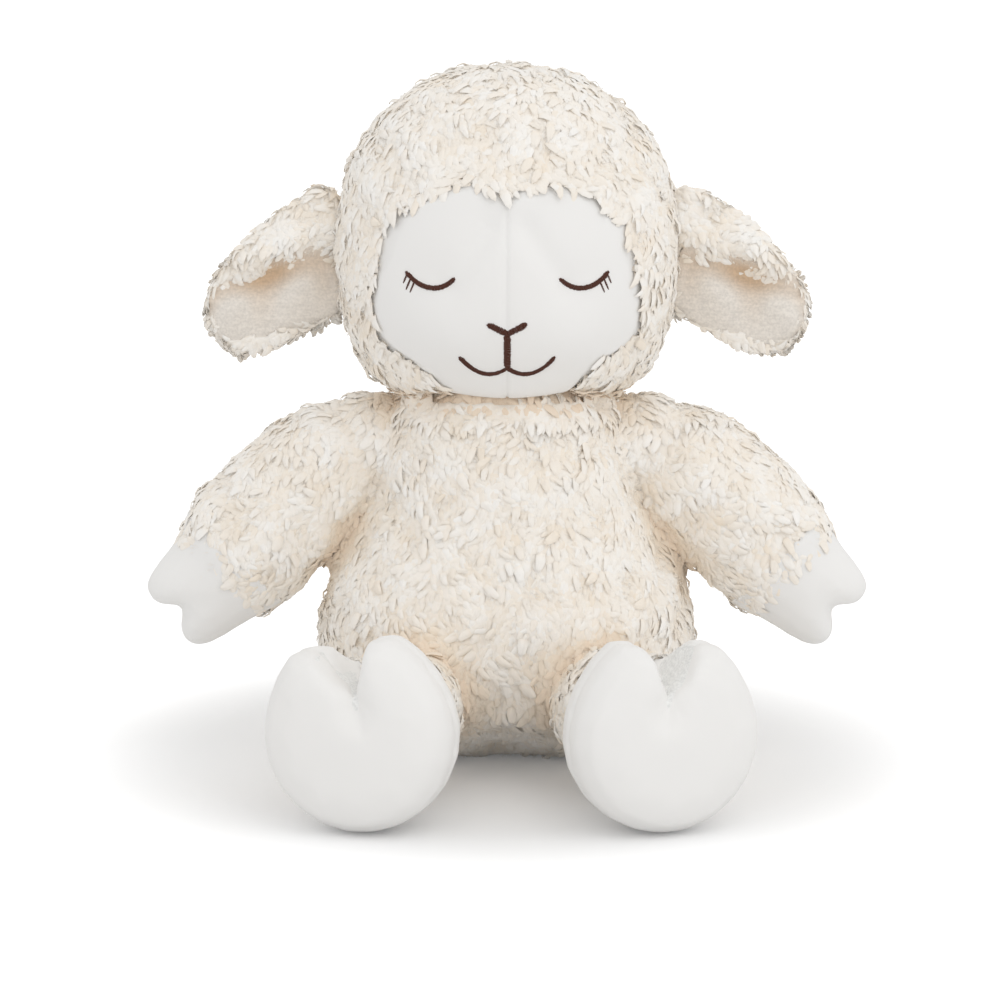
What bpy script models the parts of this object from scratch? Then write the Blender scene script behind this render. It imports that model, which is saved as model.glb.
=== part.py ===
"""A seated plush sheep: curly covers over stuffing, a smooth face, hoofs and ear linings.

The origin is on the floor at the middle of the seat. The sheep faces -Y, and its own left is +X.
"""

import math

import bmesh
import bpy
from mathutils import Matrix, Vector
from mathutils.bvhtree import BVHTree

MM = 0.001

# Cloth, seams and clearances
PILE = 7.0 * MM
NAP = 3.0 * MM
STUFFING_GAP = 1.3 * MM
SEAM_GAP = 0.3 * MM
JOINT_GAP = 0.8 * MM
SOCKET_GAP = 0.25 * MM
FLOOR_CUT = 0.5 * MM
REACH = 800.0 * MM

# Body, as wide as it is at the seat and round like a ball under the neck
BODY_HALF_WIDTH = 82.0 * MM
BODY_HALF_DEPTH = 66.0 * MM
NECK_HEIGHT = 123.0 * MM
NECK_RADIUS = 54.0 * MM
SIDE_SEAM_SETBACK = 8.0 * MM
BODY_SIDES = 10
BODY_RING_SHARES = (
    (0.03, 0.58, 0.54),
    (0.17, 0.92, 0.88),
    (0.41, 1.02, 1.02),
    (0.66, 0.92, 0.97),
    (0.85, 0.72, 0.87),
)
SEAT_FLAT_SHARE = 0.36
DOME_STEP = 24.0
DOME_RINGS = 4

# Bag of pellets that weighs down the seat
BAG_RADIUS = 32.0 * MM
BAG_HEIGHT = 22.0 * MM
BAG_ROUND = 6.0 * MM
BAG_LIFT = 3.5 * MM

# Head. Rises are over the neck's pivot for the chin, and over the chin for the rest
CHIN_RISE = 28.0 * MM
CHIN_HEIGHT = NECK_HEIGHT + CHIN_RISE
HEAD_HEIGHT = 138.0 * MM
HEAD_HALF_WIDTH = 72.0 * MM
HEAD_HALF_DEPTH = 62.0 * MM
HEAD_SIDES = 10
HEAD_RING_SHARES = (
    (0.00, 0.52, 0.46, 0.50),
    (0.07, 0.82, 0.80, 0.78),
    (0.20, 0.94, 1.06, 0.90),
    (0.40, 1.01, 1.10, 1.00),
    (0.60, 1.00, 0.97, 1.01),
    (0.79, 0.86, 0.82, 0.88),
    (0.94, 0.55, 0.54, 0.58),
    (1.00, 0.22, 0.22, 0.26),
)
CROWN_HALF_WIDTH = 42.0 * MM
FACE_HALF_WIDTH = 56.0 * MM
FACE_HALF_HEIGHT = 45.0 * MM
FACE_MIDDLE_RISE = 44.0 * MM
FACE_MIDDLE_HEIGHT = CHIN_HEIGHT + FACE_MIDDLE_RISE
FACE_SIDES = 28

# Seam that sews the head to the body
NECK_CORD_RADIUS = 1.5 * MM
NECK_CORD_RISE = 27.0
NECK_CORD_SEAT_SHARE = 0.98

# Closed eyes, nose and mouth, sewn in thread
THREAD_HALF_HEIGHT = 0.5 * MM
THREAD_GAP = 0.4 * MM
EYE_HALF_THREAD = 1.0 * MM
LASH_HALF_THREAD = 0.5 * MM
NOSE_HALF_THREAD = 1.25 * MM
THREAD_SIDES = 8
EYE_OUT = 31.0 * MM
EYE_RISE = 53.5 * MM
EYE_HALF_WIDTH = 9.5 * MM
EYE_SAG = 4.6 * MM
EYE_STEPS = 8
LASH_LENGTH = 4.6 * MM
LASH_SHARES = ((0.93, 0.45), (0.80, 0.85), (0.64, 1.00))
LASH_LEAN_SHARE = 0.35
NOSE_OVER_CHIN = 36.5 * MM
NOSE_HEIGHT = CHIN_HEIGHT + NOSE_OVER_CHIN
NOSE_HALF_WIDTH = 7.3 * MM
NOSE_RISE = 4.0 * MM
LIP_DROP = 14.5 * MM
MOUTH_HALF_WIDTH = 18.0 * MM
MOUTH_SAG = 3.4 * MM
MOUTH_RISE = 4.6 * MM
MOUTH_STEPS = 8
STEM_STEPS = 3

# Ears
EAR_OUT = 73.5 * MM
EAR_RISE = 62.0 * MM
EAR_LENGTH = 50.0 * MM
EAR_DROP = 22.0 * MM
EAR_FORWARD = 7.0 * MM
EAR_HALF_WIDTH = 29.0 * MM
EAR_HALF_THICKNESS = 6.0 * MM
EAR_SIDES = 8
EAR_RING_SHARES = (
    (0.00, 0.00, 1.00, 1.00),
    (0.25, 0.27, 1.03, 1.05),
    (0.52, 0.66, 0.98, 1.05),
    (0.78, 0.96, 0.76, 1.00),
    (0.95, 1.04, 0.42, 0.80),
    (1.00, 1.05, 0.18, 0.45),
)
EAR_ROOT_SHARES = ((-1.0, 0.88, 0.40), (-0.72, 0.96, 0.80))
LINING_SETBACK_SHARE = 0.25

# Arms, which leave the shoulder level and bend down
ARM_SIDES = 8
SHOULDER_RADIUS = 28.5 * MM
SHOULDER_SINK = 7.04 * MM
SHOULDER_STEPS = 24
SHOULDER_HEIGHT = 123.0 * MM
ARM_OUT = 65.0 * MM
ARM_DROP = 62.0 * MM
ARM_FORWARD = 12.0 * MM
ARM_BEND_SHARES = ((0.26, 0.10, 0.15), (0.46, 0.52, 0.62))
ARM_RING_SHARES = (
    (0.00, 1.00, 1.00),
    (0.24, 0.98, 0.97),
    (0.48, 1.05, 0.99),
    (0.69, 1.03, 0.94),
    (0.77, 0.82, 0.70),
    (0.90, 0.76, 0.62),
)
CUFF_SHARE = 0.73
DIRECTION_STEP_SHARE = 0.01
TOE_LENGTH = 14.0 * MM
TOE_SHRINK_SHARE = 0.62

# Legs, straight out ahead with the soles facing forward
LEG_ANGLES = (0.0, 17.0, 44.0, 80.0, 114.0, 148.0, 180.0, 212.0, 246.0, 280.0, 316.0, 343.0)
HIP_RADIUS = 27.0 * MM
HIP_OUT = 42.0 * MM
HIP_FORWARD = 68.0 * MM
LEG_LENGTH = 74.0 * MM
LEG_RISE = 7.0 * MM
LEFT_LEG_SPREAD = 23.0 * MM
RIGHT_LEG_SPREAD = 19.0 * MM
LEG_RING_SHARES = ((0.00, 1.00), (0.30, 0.97))
ANKLE_SHARE = 0.37
FOOT_RADIUS = 39.5 * MM
LEFT_FOOT_TURN = -5.0
RIGHT_FOOT_TURN = 3.0
LEG_POSES = {
    "left": (LEFT_LEG_SPREAD, LEFT_FOOT_TURN),
    "right": (RIGHT_LEG_SPREAD, RIGHT_FOOT_TURN),
}
FOOT_RING_SHARES = (
    (0.42, 0.67, 0.35),
    (0.58, 1.01, 0.95),
    (0.87, 1.03, 1.00),
    (1.03, 0.75, 0.75),
)
SOLE_SHARE = 0.74
NOTCH_SHARE = 0.16
TOE_SHARE = 1.15
BALL_ANGLES = (68.0, 40.0)

# Detail of round cutters
BALL_SEGMENTS = 20
CORD_SEGMENTS = 32
PIVOT_MARK = 10.0 * MM

WOOL = (0.93, 0.89, 0.82)
SMOOTH_WHITE = (0.90, 0.89, 0.87)
LINING = (0.86, 0.80, 0.72)
THREAD = (0.09, 0.03, 0.02)
FILLING = (0.95, 0.95, 0.95)
CLOTH_ROUGHNESS = 0.95

NECK_PIVOT = Vector((0, 0, NECK_HEIGHT))


def collection(name):
    made = bpy.data.collections.new(name)
    bpy.context.scene.collection.children.link(made)
    return made


def material(name, colour):
    made = bpy.data.materials.new(name)
    made.use_nodes = True
    shader = made.node_tree.nodes["Principled BSDF"]
    shader.inputs["Base Color"].default_value = (*colour, 1.0)
    shader.inputs["Roughness"].default_value = CLOTH_ROUGHNESS
    return made


def add_object(name, mesh, colour=None):
    """A part with its own material, or a cutter where no colour is given."""
    made = bpy.data.objects.new(name, mesh)
    if colour is None:
        cutters.objects.link(made)
        made.hide_render = True
        made.display_type = "WIRE"
    else:
        parts.objects.link(made)
        made.data.materials.append(material(name, colour))
        made.data.shade_smooth()
    return made


def mesh_from(name, bm):
    mesh = bpy.data.meshes.new(name)
    bm.to_mesh(mesh)
    bm.free()
    return mesh


def swell(sides):
    """How far a ring of the cage lies outside the smooth ring that it makes."""
    return 1.0 / (0.75 + 0.25 * math.cos(math.tau / sides))


def even_angles(sides):
    return [360.0 * i / sides for i in range(sides)]


def ring(centre, side, front, back, angles, reaches=None):
    """Cage corners round a centre. Angle 0 lies along front, 90 along side and 180 along back."""
    size = swell(len(angles))
    points = []
    for angle, reach in zip(angles, reaches or [1.0] * len(angles)):
        turn = math.radians(angle)
        lift = front if math.cos(turn) >= 0 else back
        offset = side * math.sin(turn) + lift * abs(math.cos(turn))
        points.append(centre + offset * (size * reach))
    return points


def loft(rings, capped=True):
    """A cage through rings of corners, with its loops of corners."""
    bm = bmesh.new()
    loops = [[bm.verts.new(point) for point in points] for points in rings]
    for low, high in zip(loops, loops[1:]):
        for i in range(len(low)):
            bm.faces.new((low[i - 1], low[i], high[i], high[i - 1]))
    bm.faces.new(loops[0])
    if capped:
        bm.faces.new(loops[-1])
    return bm, loops


def form(name, bm, is_smooth=None):
    """A soft form. The group says how thick its cloth is, as a share of the curly pile."""
    bmesh.ops.recalc_face_normals(bm, faces=bm.faces)
    made = add_object(name, mesh_from(name, bm))
    group = made.vertex_groups.new(name="pile")
    for vertex in made.data.vertices:
        smooth = is_smooth is not None and is_smooth(vertex.co)
        group.add([vertex.index], NAP / PILE if smooth else 1.0, "REPLACE")
    return made


def rounded(name, shape, colour):
    """A part with a form's cage, made smooth."""
    made = add_object(name, shape.data.copy(), colour)
    made.vertex_groups.new(name="pile")
    surface = made.modifiers.new("smooth", "SUBSURF")
    surface.levels = 1
    surface.render_levels = 1
    return made


def cover(name, shape, colour):
    """The cloth of a form, from its outer face inwards."""
    made = rounded(name, shape, colour)
    cloth = made.modifiers.new("cloth", "SOLIDIFY")
    cloth.thickness = PILE
    cloth.offset = -1.0
    cloth.vertex_group = "pile"
    return made


def filling(name, shape):
    """What fills a form inside its cloth."""
    made = rounded(name, shape, FILLING)
    inset = made.modifiers.new("inset", "DISPLACE")
    inset.strength = -(PILE + STUFFING_GAP)
    inset.mid_level = 0.0
    inset.vertex_group = "pile"
    return made


def boolean(piece, cutter, operation):
    """The head's walls, one inside the other, are only parted soundly by the second solver."""
    step = piece.modifiers.new(cutter.name, "BOOLEAN")
    step.operation = operation
    step.solver = "MANIFOLD" if piece.name.startswith(("hood", "face")) else "EXACT"
    step.object = cutter


def cut(piece, cutter):
    boolean(piece, cutter, "DIFFERENCE")


def keep(piece, cutter):
    boolean(piece, cutter, "INTERSECT")


def beyond(name, point, direction):
    """A cutter of all that lies past a plane."""
    bm = bmesh.new()
    bmesh.ops.create_cube(bm, size=REACH)
    turn = Vector((0, 0, 1)).rotation_difference(direction).to_matrix().to_4x4()
    move = Matrix.Translation(point + direction * (REACH / 2))
    bm.transform(move @ turn)
    return add_object(name, mesh_from(name, bm))


def ball(name, centre, radius):
    bm = bmesh.new()
    bmesh.ops.create_uvsphere(
        bm, u_segments=BALL_SEGMENTS, v_segments=BALL_SEGMENTS // 2, radius=radius
    )
    bm.transform(Matrix.Translation(centre))
    return add_object(name, mesh_from(name, bm))


def column(name, centre, radius, height, segments):
    """A cutter standing upright, with its middle at the centre."""
    bm = bmesh.new()
    bmesh.ops.create_cone(
        bm, cap_ends=True, segments=segments, radius1=radius, radius2=radius, depth=height
    )
    bm.transform(Matrix.Translation(centre))
    return add_object(name, mesh_from(name, bm))


def split(first, second, point, direction):
    """Parts two copies of a piece at a plane. The second keeps what lies past it."""
    middle = first.name + "_to_" + second.name
    cut(first, beyond(middle + "_past", point - direction * (SEAM_GAP / 2), direction))
    cut(second, beyond(middle + "_before", point + direction * (SEAM_GAP / 2), -direction))


def evaluated(shape):
    """A form's smooth surface, as a mesh in world space."""
    step = shape.modifiers.new("smooth", "SUBSURF")
    step.levels = 1
    step.render_levels = 1
    bpy.context.view_layer.update()
    graph = bpy.context.evaluated_depsgraph_get()
    mesh = bpy.data.meshes.new_from_object(shape.evaluated_get(graph))
    shape.modifiers.remove(step)
    return mesh


def body_width_at(height):
    """Half the body's width at a height on the lower body."""
    levels = [(share * NECK_HEIGHT, width * BODY_HALF_WIDTH) for share, width, _ in BODY_RING_SHARES]
    levels.append((NECK_HEIGHT, NECK_RADIUS))
    for (low, narrow), (high, wide) in zip(levels, levels[1:]):
        if height <= high:
            return narrow + (wide - narrow) * (height - low) / (high - low)
    return NECK_RADIUS


def body_form():
    angles = even_angles(BODY_SIDES)
    levels = [(-FLOOR_CUT, SEAT_FLAT_SHARE * BODY_HALF_WIDTH, SEAT_FLAT_SHARE * BODY_HALF_DEPTH)]
    for rise, width, depth in BODY_RING_SHARES:
        levels.append((rise * NECK_HEIGHT, width * BODY_HALF_WIDTH, depth * BODY_HALF_DEPTH))
    reach = NECK_RADIUS * swell(360.0 / DOME_STEP)
    for i in range(DOME_RINGS):
        turn = math.radians(i * DOME_STEP)
        radius = reach * math.cos(turn)
        levels.append((NECK_HEIGHT + reach * math.sin(turn), radius, radius))
    rings = []
    for height, width, depth in levels:
        front = Vector((0, -depth, 0))
        rings.append(ring(Vector((0, 0, height)), Vector((width, 0, 0)), front, -front, angles))
    return form("body_form", loft(rings)[0])


def head_form():
    angles = even_angles(HEAD_SIDES)
    rings = []
    for rise, width, front, back in HEAD_RING_SHARES:
        centre = Vector((0, 0, CHIN_HEIGHT + rise * HEAD_HEIGHT))
        side = Vector((width * HEAD_HALF_WIDTH, 0, 0))
        ahead = Vector((0, -front * HEAD_HALF_DEPTH, 0))
        behind = Vector((0, back * HEAD_HALF_DEPTH, 0))
        rings.append(ring(centre, side, ahead, behind, angles))

    def on_face(point):
        across = point.x / FACE_HALF_WIDTH
        up = (point.z - FACE_MIDDLE_HEIGHT) / FACE_HALF_HEIGHT
        return point.y < 0 and across**2 + up**2 < 1.0

    return form("head_form", loft(rings)[0], on_face)


def face_cutter(name, clearance):
    """A bar of the face's oval outline, from the head's middle out past its front."""
    bm = bmesh.new()
    bmesh.ops.create_cone(
        bm, cap_ends=True, segments=FACE_SIDES, radius1=1.0, radius2=1.0, depth=1.0
    )
    width = FACE_HALF_WIDTH + clearance
    height = FACE_HALF_HEIGHT + clearance
    depth = 2 * HEAD_HALF_DEPTH
    lie_down = Matrix.Rotation(math.radians(90.0), 4, "X")
    bm.transform(Matrix.Diagonal((width, depth, height, 1.0)) @ lie_down)
    bm.transform(Matrix.Translation((0, -depth / 2, FACE_MIDDLE_HEIGHT)))
    return add_object(name, mesh_from(name, bm))


def ear_root(side):
    return Vector((side * EAR_OUT, 0, CHIN_HEIGHT + EAR_RISE))


def ear_root_cutter(name, side):
    """The slot that the ear's round root turns in."""
    radius = EAR_HALF_THICKNESS + JOINT_GAP
    height = 2 * EAR_HALF_WIDTH + 4 * EAR_HALF_THICKNESS
    return column(name, ear_root(side), radius, height, BALL_SEGMENTS)


def build_body(floor, socket_cutters):
    shape = body_form()
    front = cover("body_front", shape, WOOL)
    back = cover("body_back", shape, WOOL)
    stuffing = filling("body_stuffing", shape)
    for piece in (front, back):
        cut(piece, floor)
    split(front, back, Vector((0, SIDE_SEAM_SETBACK, 0)), Vector((0, 1, 0)))
    for piece in (front, back, stuffing):
        for cutter in socket_cutters:
            cut(piece, cutter)
    bag_base = PILE + BAG_LIFT
    pocket_top = bag_base + BAG_HEIGHT + SEAM_GAP
    pocket = column("pocket", Vector((0, 0, 0)), BAG_RADIUS + SEAM_GAP, 2 * pocket_top, BALL_SEGMENTS)
    cut(stuffing, pocket)
    bm = bmesh.new()
    bmesh.ops.create_cone(
        bm,
        cap_ends=True,
        segments=BALL_SEGMENTS,
        radius1=BAG_RADIUS,
        radius2=BAG_RADIUS,
        depth=BAG_HEIGHT,
    )
    bm.transform(Matrix.Translation((0, 0, bag_base + BAG_HEIGHT / 2)))
    bag = add_object("pellet_bag", mesh_from("pellet_bag", bm), FILLING)
    edge = bag.modifiers.new("edge", "BEVEL")
    edge.width = BAG_ROUND
    edge.segments = 2
    edge.limit_method = "ANGLE"


def build_head():
    shape = head_form()
    neck = ball("neck_hollow", NECK_PIVOT, NECK_RADIUS + JOINT_GAP)
    slots = [ear_root_cutter("ear_slot_left", 1), ear_root_cutter("ear_slot_right", -1)]
    opening = face_cutter("face_opening", SEAM_GAP)
    inside = face_cutter("face_outline", 0)

    crown = cover("hood_crown", shape, WOOL)
    left = cover("hood_side_left", shape, WOOL)
    right = cover("hood_side_right", shape, WOOL)
    for piece in (crown, left, right):
        cut(piece, neck)
        cut(piece, opening)
    seam = Vector((CROWN_HALF_WIDTH, 0, 0))
    split(crown, left, seam, Vector((1, 0, 0)))
    split(crown, right, -seam, Vector((-1, 0, 0)))
    cut(left, slots[0])
    cut(right, slots[1])

    face_left = cover("face_panel_left", shape, SMOOTH_WHITE)
    face_right = cover("face_panel_right", shape, SMOOTH_WHITE)
    for piece in (face_left, face_right):
        keep(piece, inside)
        cut(piece, neck)
    split(face_right, face_left, Vector((0, 0, 0)), Vector((1, 0, 0)))

    cut(filling("head_stuffing", shape), neck)
    return BVHTree.FromPolygons(*surface_of(shape))


def surface_of(shape):
    mesh = evaluated(shape)
    return [v.co.copy() for v in mesh.vertices], [tuple(p.vertices) for p in mesh.polygons]


def build_neck_cord():
    rise = math.radians(NECK_CORD_RISE)
    reach = NECK_CORD_SEAT_SHARE * NECK_RADIUS + SEAM_GAP + NECK_CORD_RADIUS
    radius = reach * math.cos(rise)
    height = NECK_HEIGHT + reach * math.sin(rise)
    curve = bpy.data.curves.new("neck_seam", "CURVE")
    curve.dimensions = "3D"
    curve.bevel_depth = NECK_CORD_RADIUS
    curve.bevel_resolution = 1
    line = curve.splines.new("POLY")
    line.points.add(CORD_SEGMENTS - 1)
    line.use_cyclic_u = True
    for i, point in enumerate(line.points):
        turn = math.tau * i / CORD_SEGMENTS
        point.co = (radius * math.sin(turn), -radius * math.cos(turn), height, 1.0)
    cord = bpy.data.objects.new("neck_seam", curve)
    parts.objects.link(cord)
    curve.materials.append(material("neck_seam", WOOL))


def on_surface(tree, x, z):
    """The point of the face straight behind x and z, and the way that it faces."""
    start = Vector((x, -REACH, z))
    point, normal, _, _ = tree.ray_cast(start, Vector((0, 1, 0)))
    return point, normal


def stitch(name, tree, places, half_width, colour=None):
    """A raised line of thread that follows the face through places in x and z."""
    spots = [on_surface(tree, x, z) for x, z in places]
    angles = even_angles(THREAD_SIDES)
    rings = []
    for i, (point, normal) in enumerate(spots):
        before = spots[max(i - 1, 0)][0]
        after = spots[min(i + 1, len(spots) - 1)][0]
        along = (after - before).normalized()
        side = along.cross(normal).normalized()
        out = side.cross(along).normalized()
        centre = point + out * (THREAD_HALF_HEIGHT + THREAD_GAP)
        lift = out * THREAD_HALF_HEIGHT
        rings.append(ring(centre, side * half_width, lift, -lift, angles))
    bm = loft(rings)[0]
    bmesh.ops.recalc_face_normals(bm, faces=bm.faces)
    return add_object(name, mesh_from(name, bm), colour)


def join(piece, others):
    for other in others:
        boolean(piece, other, "UNION")


def eye_point(side, share):
    """A place on the closed lid, from its inner end at -1 to its outer end at 1."""
    x = EYE_OUT + share * EYE_HALF_WIDTH
    return side * x, CHIN_HEIGHT + EYE_RISE + EYE_SAG * share**2


def build_eye(tree, word, side):
    shares = [2.0 * i / EYE_STEPS - 1.0 for i in range(EYE_STEPS + 1)]
    name = "eye_embroidery_" + word
    lid = stitch(name, tree, [eye_point(side, share) for share in shares], EYE_HALF_THREAD, THREAD)
    lashes = []
    for i, (share, length_share) in enumerate(LASH_SHARES):
        x, z = eye_point(side, share)
        drop = LASH_LENGTH * length_share
        lean = side * drop * LASH_LEAN_SHARE
        places = [(x + lean * step, z - drop * step) for step in (0.0, 0.5, 1.0)]
        lashes.append(stitch(f"lash_{word}_{i}", tree, places, LASH_HALF_THREAD))
    join(lid, lashes)


def build_nose_and_mouth(tree):
    lip = NOSE_HEIGHT - LIP_DROP
    stem = [(0.0, NOSE_HEIGHT - LIP_DROP * i / STEM_STEPS) for i in range(STEM_STEPS + 1)]
    left_arm = [(NOSE_HALF_WIDTH, NOSE_HEIGHT + NOSE_RISE)]
    nose = stitch("nose_mouth_embroidery", tree, left_arm + stem, NOSE_HALF_THREAD, THREAD)
    right_arm = [(-NOSE_HALF_WIDTH, NOSE_HEIGHT + NOSE_RISE), (0.0, NOSE_HEIGHT)]
    others = [stitch("nose_arm", tree, right_arm, NOSE_HALF_THREAD)]
    for word, side in (("left", 1), ("right", -1)):
        places = []
        for i in range(MOUTH_STEPS + 1):
            share = i / MOUTH_STEPS
            sag = MOUTH_SAG * math.sin(math.pi * share)
            places.append((side * share * MOUTH_HALF_WIDTH, lip - sag + MOUTH_RISE * share**2))
        others.append(stitch("mouth_" + word, tree, places, EYE_HALF_THREAD))
    join(nose, others)


def build_ear(word, side):
    angles = even_angles(EAR_SIDES)
    root = ear_root(side)
    forward = Vector((0, -EAR_HALF_THICKNESS, 0))
    upright = Vector((0, 0, EAR_HALF_WIDTH))
    rings = []
    for reach, width, thickness in EAR_ROOT_SHARES:
        centre = root + Vector((side * reach * EAR_HALF_THICKNESS, 0, 0))
        lift = forward * thickness
        rings.append(ring(centre, upright * width, lift, -lift, angles))
    for out, drop, width, thickness in EAR_RING_SHARES:
        offset = Vector((side * out * EAR_LENGTH, -out * EAR_FORWARD, -drop * EAR_DROP))
        lift = forward * thickness
        rings.append(ring(root + offset, upright * width, lift, -lift, angles))
    shape = form("ear_form_" + word, loft(rings)[0])
    outer = rounded("ear_outer_" + word, shape, WOOL)
    lining = rounded("ear_lining_" + word, shape, LINING)
    facing = Vector((-side * EAR_FORWARD, -EAR_LENGTH, 0)).normalized()
    split(outer, lining, root + facing * (LINING_SETBACK_SHARE * EAR_HALF_THICKNESS), facing)


def shoulder(side):
    """The middle of a shoulder, whose ball sinks no deeper than its set sink into the body's side."""
    touches = []
    for i in range(SHOULDER_STEPS):
        drop = SHOULDER_RADIUS * i / SHOULDER_STEPS
        reach = math.sqrt(SHOULDER_RADIUS**2 - drop**2)
        touches.append(body_width_at(SHOULDER_HEIGHT - drop) + reach)
    return Vector((side * (max(touches) - SHOULDER_SINK), 0, SHOULDER_HEIGHT))


def hip(side):
    return Vector((side * HIP_OUT, -HIP_FORWARD, leg_lift))


def bezier(points, t):
    a, b, c, d = points
    u = 1.0 - t
    return a * u**3 + b * (3 * u * u * t) + c * (3 * u * t * t) + d * t**3


def arm_line(side):
    """The curve through the middle of an arm, as four control points."""
    start = shoulder(side)
    span = Vector((side * ARM_OUT, -ARM_FORWARD, -ARM_DROP))
    middle = []
    for out, ahead, down in ARM_BEND_SHARES:
        middle.append(start + Vector((out * span.x, ahead * span.y, down * span.z)))
    return start, *middle, start + span


def arm_frame(line, t):
    """Place, direction and sideways direction on an arm's line. The way across is level with X and Z."""
    before = bezier(line, max(t - DIRECTION_STEP_SHARE, 0.0))
    after = bezier(line, min(t + DIRECTION_STEP_SHARE, 1.0))
    along = (after - before).normalized()
    side = along.cross(Vector((0, -1, 0))).normalized()
    return bezier(line, t), along, side


def ball_rings(centre, along, side, radius, angles):
    """Rings that round off a limb's root."""
    front = side.cross(along)
    rings = []
    for angle in BALL_ANGLES:
        turn = math.radians(angle)
        reach = radius * math.cos(turn)
        spot = centre - along * (radius * math.sin(turn))
        rings.append(ring(spot, side * reach, front * reach, front * -reach, angles))
    return rings


def add_toes(bm, loop, along):
    """Two toes from the halves of a limb's open end."""
    half = len(loop) // 2
    for corners in (loop[: half + 1], loop[half:] + loop[:1]):
        face = bm.faces.new(corners)
        grown = bmesh.ops.extrude_face_region(bm, geom=[face])["geom"]
        bm.faces.remove(face)
        tips = [item for item in grown if isinstance(item, bmesh.types.BMVert)]
        middle = sum((v.co for v in tips), Vector()) / len(tips)
        for tip in tips:
            tip.co = middle + (tip.co - middle) * TOE_SHRINK_SHARE + along * TOE_LENGTH


def build_arm(word, side):
    angles = even_angles(ARM_SIDES)
    line = arm_line(side)
    start, along, across = arm_frame(line, 0.0)
    rings = ball_rings(start, along, across, SHOULDER_RADIUS, angles)
    for share, width, depth in ARM_RING_SHARES:
        spot, along, across = arm_frame(line, share)
        front = across.cross(along) * (depth * SHOULDER_RADIUS)
        rings.append(ring(spot, across * (width * SHOULDER_RADIUS), front, -front, angles))
    bm, loops = loft(rings, capped=False)
    add_toes(bm, loops[-1], along)
    cuff, direction, _ = arm_frame(line, CUFF_SHARE)

    def past_cuff(point):
        return (point - cuff).dot(direction) > 0

    shape = form("arm_form_" + word, bm, past_cuff)
    sleeve = cover("arm_sleeve_" + word, shape, WOOL)
    hoof = cover("hand_hoof_" + word, shape, SMOOTH_WHITE)
    split(sleeve, hoof, cuff, direction)
    filling("arm_stuffing_" + word, shape)


def leg_cage(hip_at, word, side):
    """A leg and its foot, turned about the leg, as a cage from the hip at the given place."""
    spread, foot_turn = LEG_POSES[word]
    span = Vector((side * spread, -LEG_LENGTH, LEG_RISE))
    along = span.normalized()
    level = along.cross(Vector((0, 0, 1))).normalized()
    upright = level.cross(along)
    rings = ball_rings(hip_at, along, level, HIP_RADIUS, LEG_ANGLES)
    for share, width in LEG_RING_SHARES:
        reach = width * HIP_RADIUS
        spot = hip_at + span * share
        rings.append(ring(spot, level * reach, upright * reach, upright * -reach, LEG_ANGLES))
    turn = Matrix.Rotation(math.radians(-side * foot_turn), 3, along)
    across = turn @ level
    up = turn @ upright
    for share, width, notch in FOOT_RING_SHARES:
        reach = width * FOOT_RADIUS
        reaches = [1.0] * len(LEG_ANGLES)
        reaches[0] += (NOTCH_SHARE - 1.0) * notch
        reaches[1] += (TOE_SHARE - 1.0) * notch
        reaches[-1] = reaches[1]
        spot = hip_at + span * share
        rings.append(ring(spot, across * reach, up * reach, up * -reach, LEG_ANGLES, reaches))
    return loft(rings)[0], span, along


def lift_to_floor(word, side):
    """How high a hip is, so that the heel reaches the floor and the cut just under it."""
    bm, _, _ = leg_cage(Vector((0, 0, 0)), word, side)
    trial = form("leg_trial_" + word, bm)
    lowest = min(vertex.co.z for vertex in evaluated(trial).vertices)
    bpy.data.objects.remove(trial)
    return -FLOOR_CUT - lowest


def build_leg(floor, word, side):
    hip_at = hip(side)
    bm, span, along = leg_cage(hip_at, word, side)
    ankle = hip_at + span * ANKLE_SHARE

    def past_ankle(point):
        return (point - ankle).dot(along) > 0

    shape = form("leg_form_" + word, bm, past_ankle)
    sleeve = cover("leg_sleeve_" + word, shape, WOOL)
    upper = cover("foot_upper_" + word, shape, SMOOTH_WHITE)
    sole = cover("foot_sole_" + word, shape, SMOOTH_WHITE)
    for piece in (upper, sole):
        cut(piece, floor)
    split(sleeve, upper, ankle, along)
    split(upper, sole, hip_at + span * SOLE_SHARE, along)
    filling("leg_stuffing_" + word, shape)


def pivot(name, place, carried):
    """An empty on a joint's axis, which carries the pieces whose names start as given."""
    made = bpy.data.objects.new(name, None)
    made.empty_display_size = PIVOT_MARK
    made.location = place
    for piece in parts.objects:
        if piece.name.startswith(carried):
            piece.parent = made
            piece.matrix_parent_inverse = Matrix.Translation(-place)
    parts.objects.link(made)


for old in list(bpy.data.objects):
    bpy.data.objects.remove(old, do_unlink=True)
parts = collection("plush_sheep")
cutters = collection("cutters")
leg_lift = min(lift_to_floor("left", 1), lift_to_floor("right", -1))

floor = beyond("floor", Vector((0, 0, 0)), Vector((0, 0, -1)))
sockets = []
for word, side in (("left", 1), ("right", -1)):
    sockets.append(ball("shoulder_socket_" + word, shoulder(side), SHOULDER_RADIUS + SOCKET_GAP))
    sockets.append(ball("hip_socket_" + word, hip(side), HIP_RADIUS + SOCKET_GAP))

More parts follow.
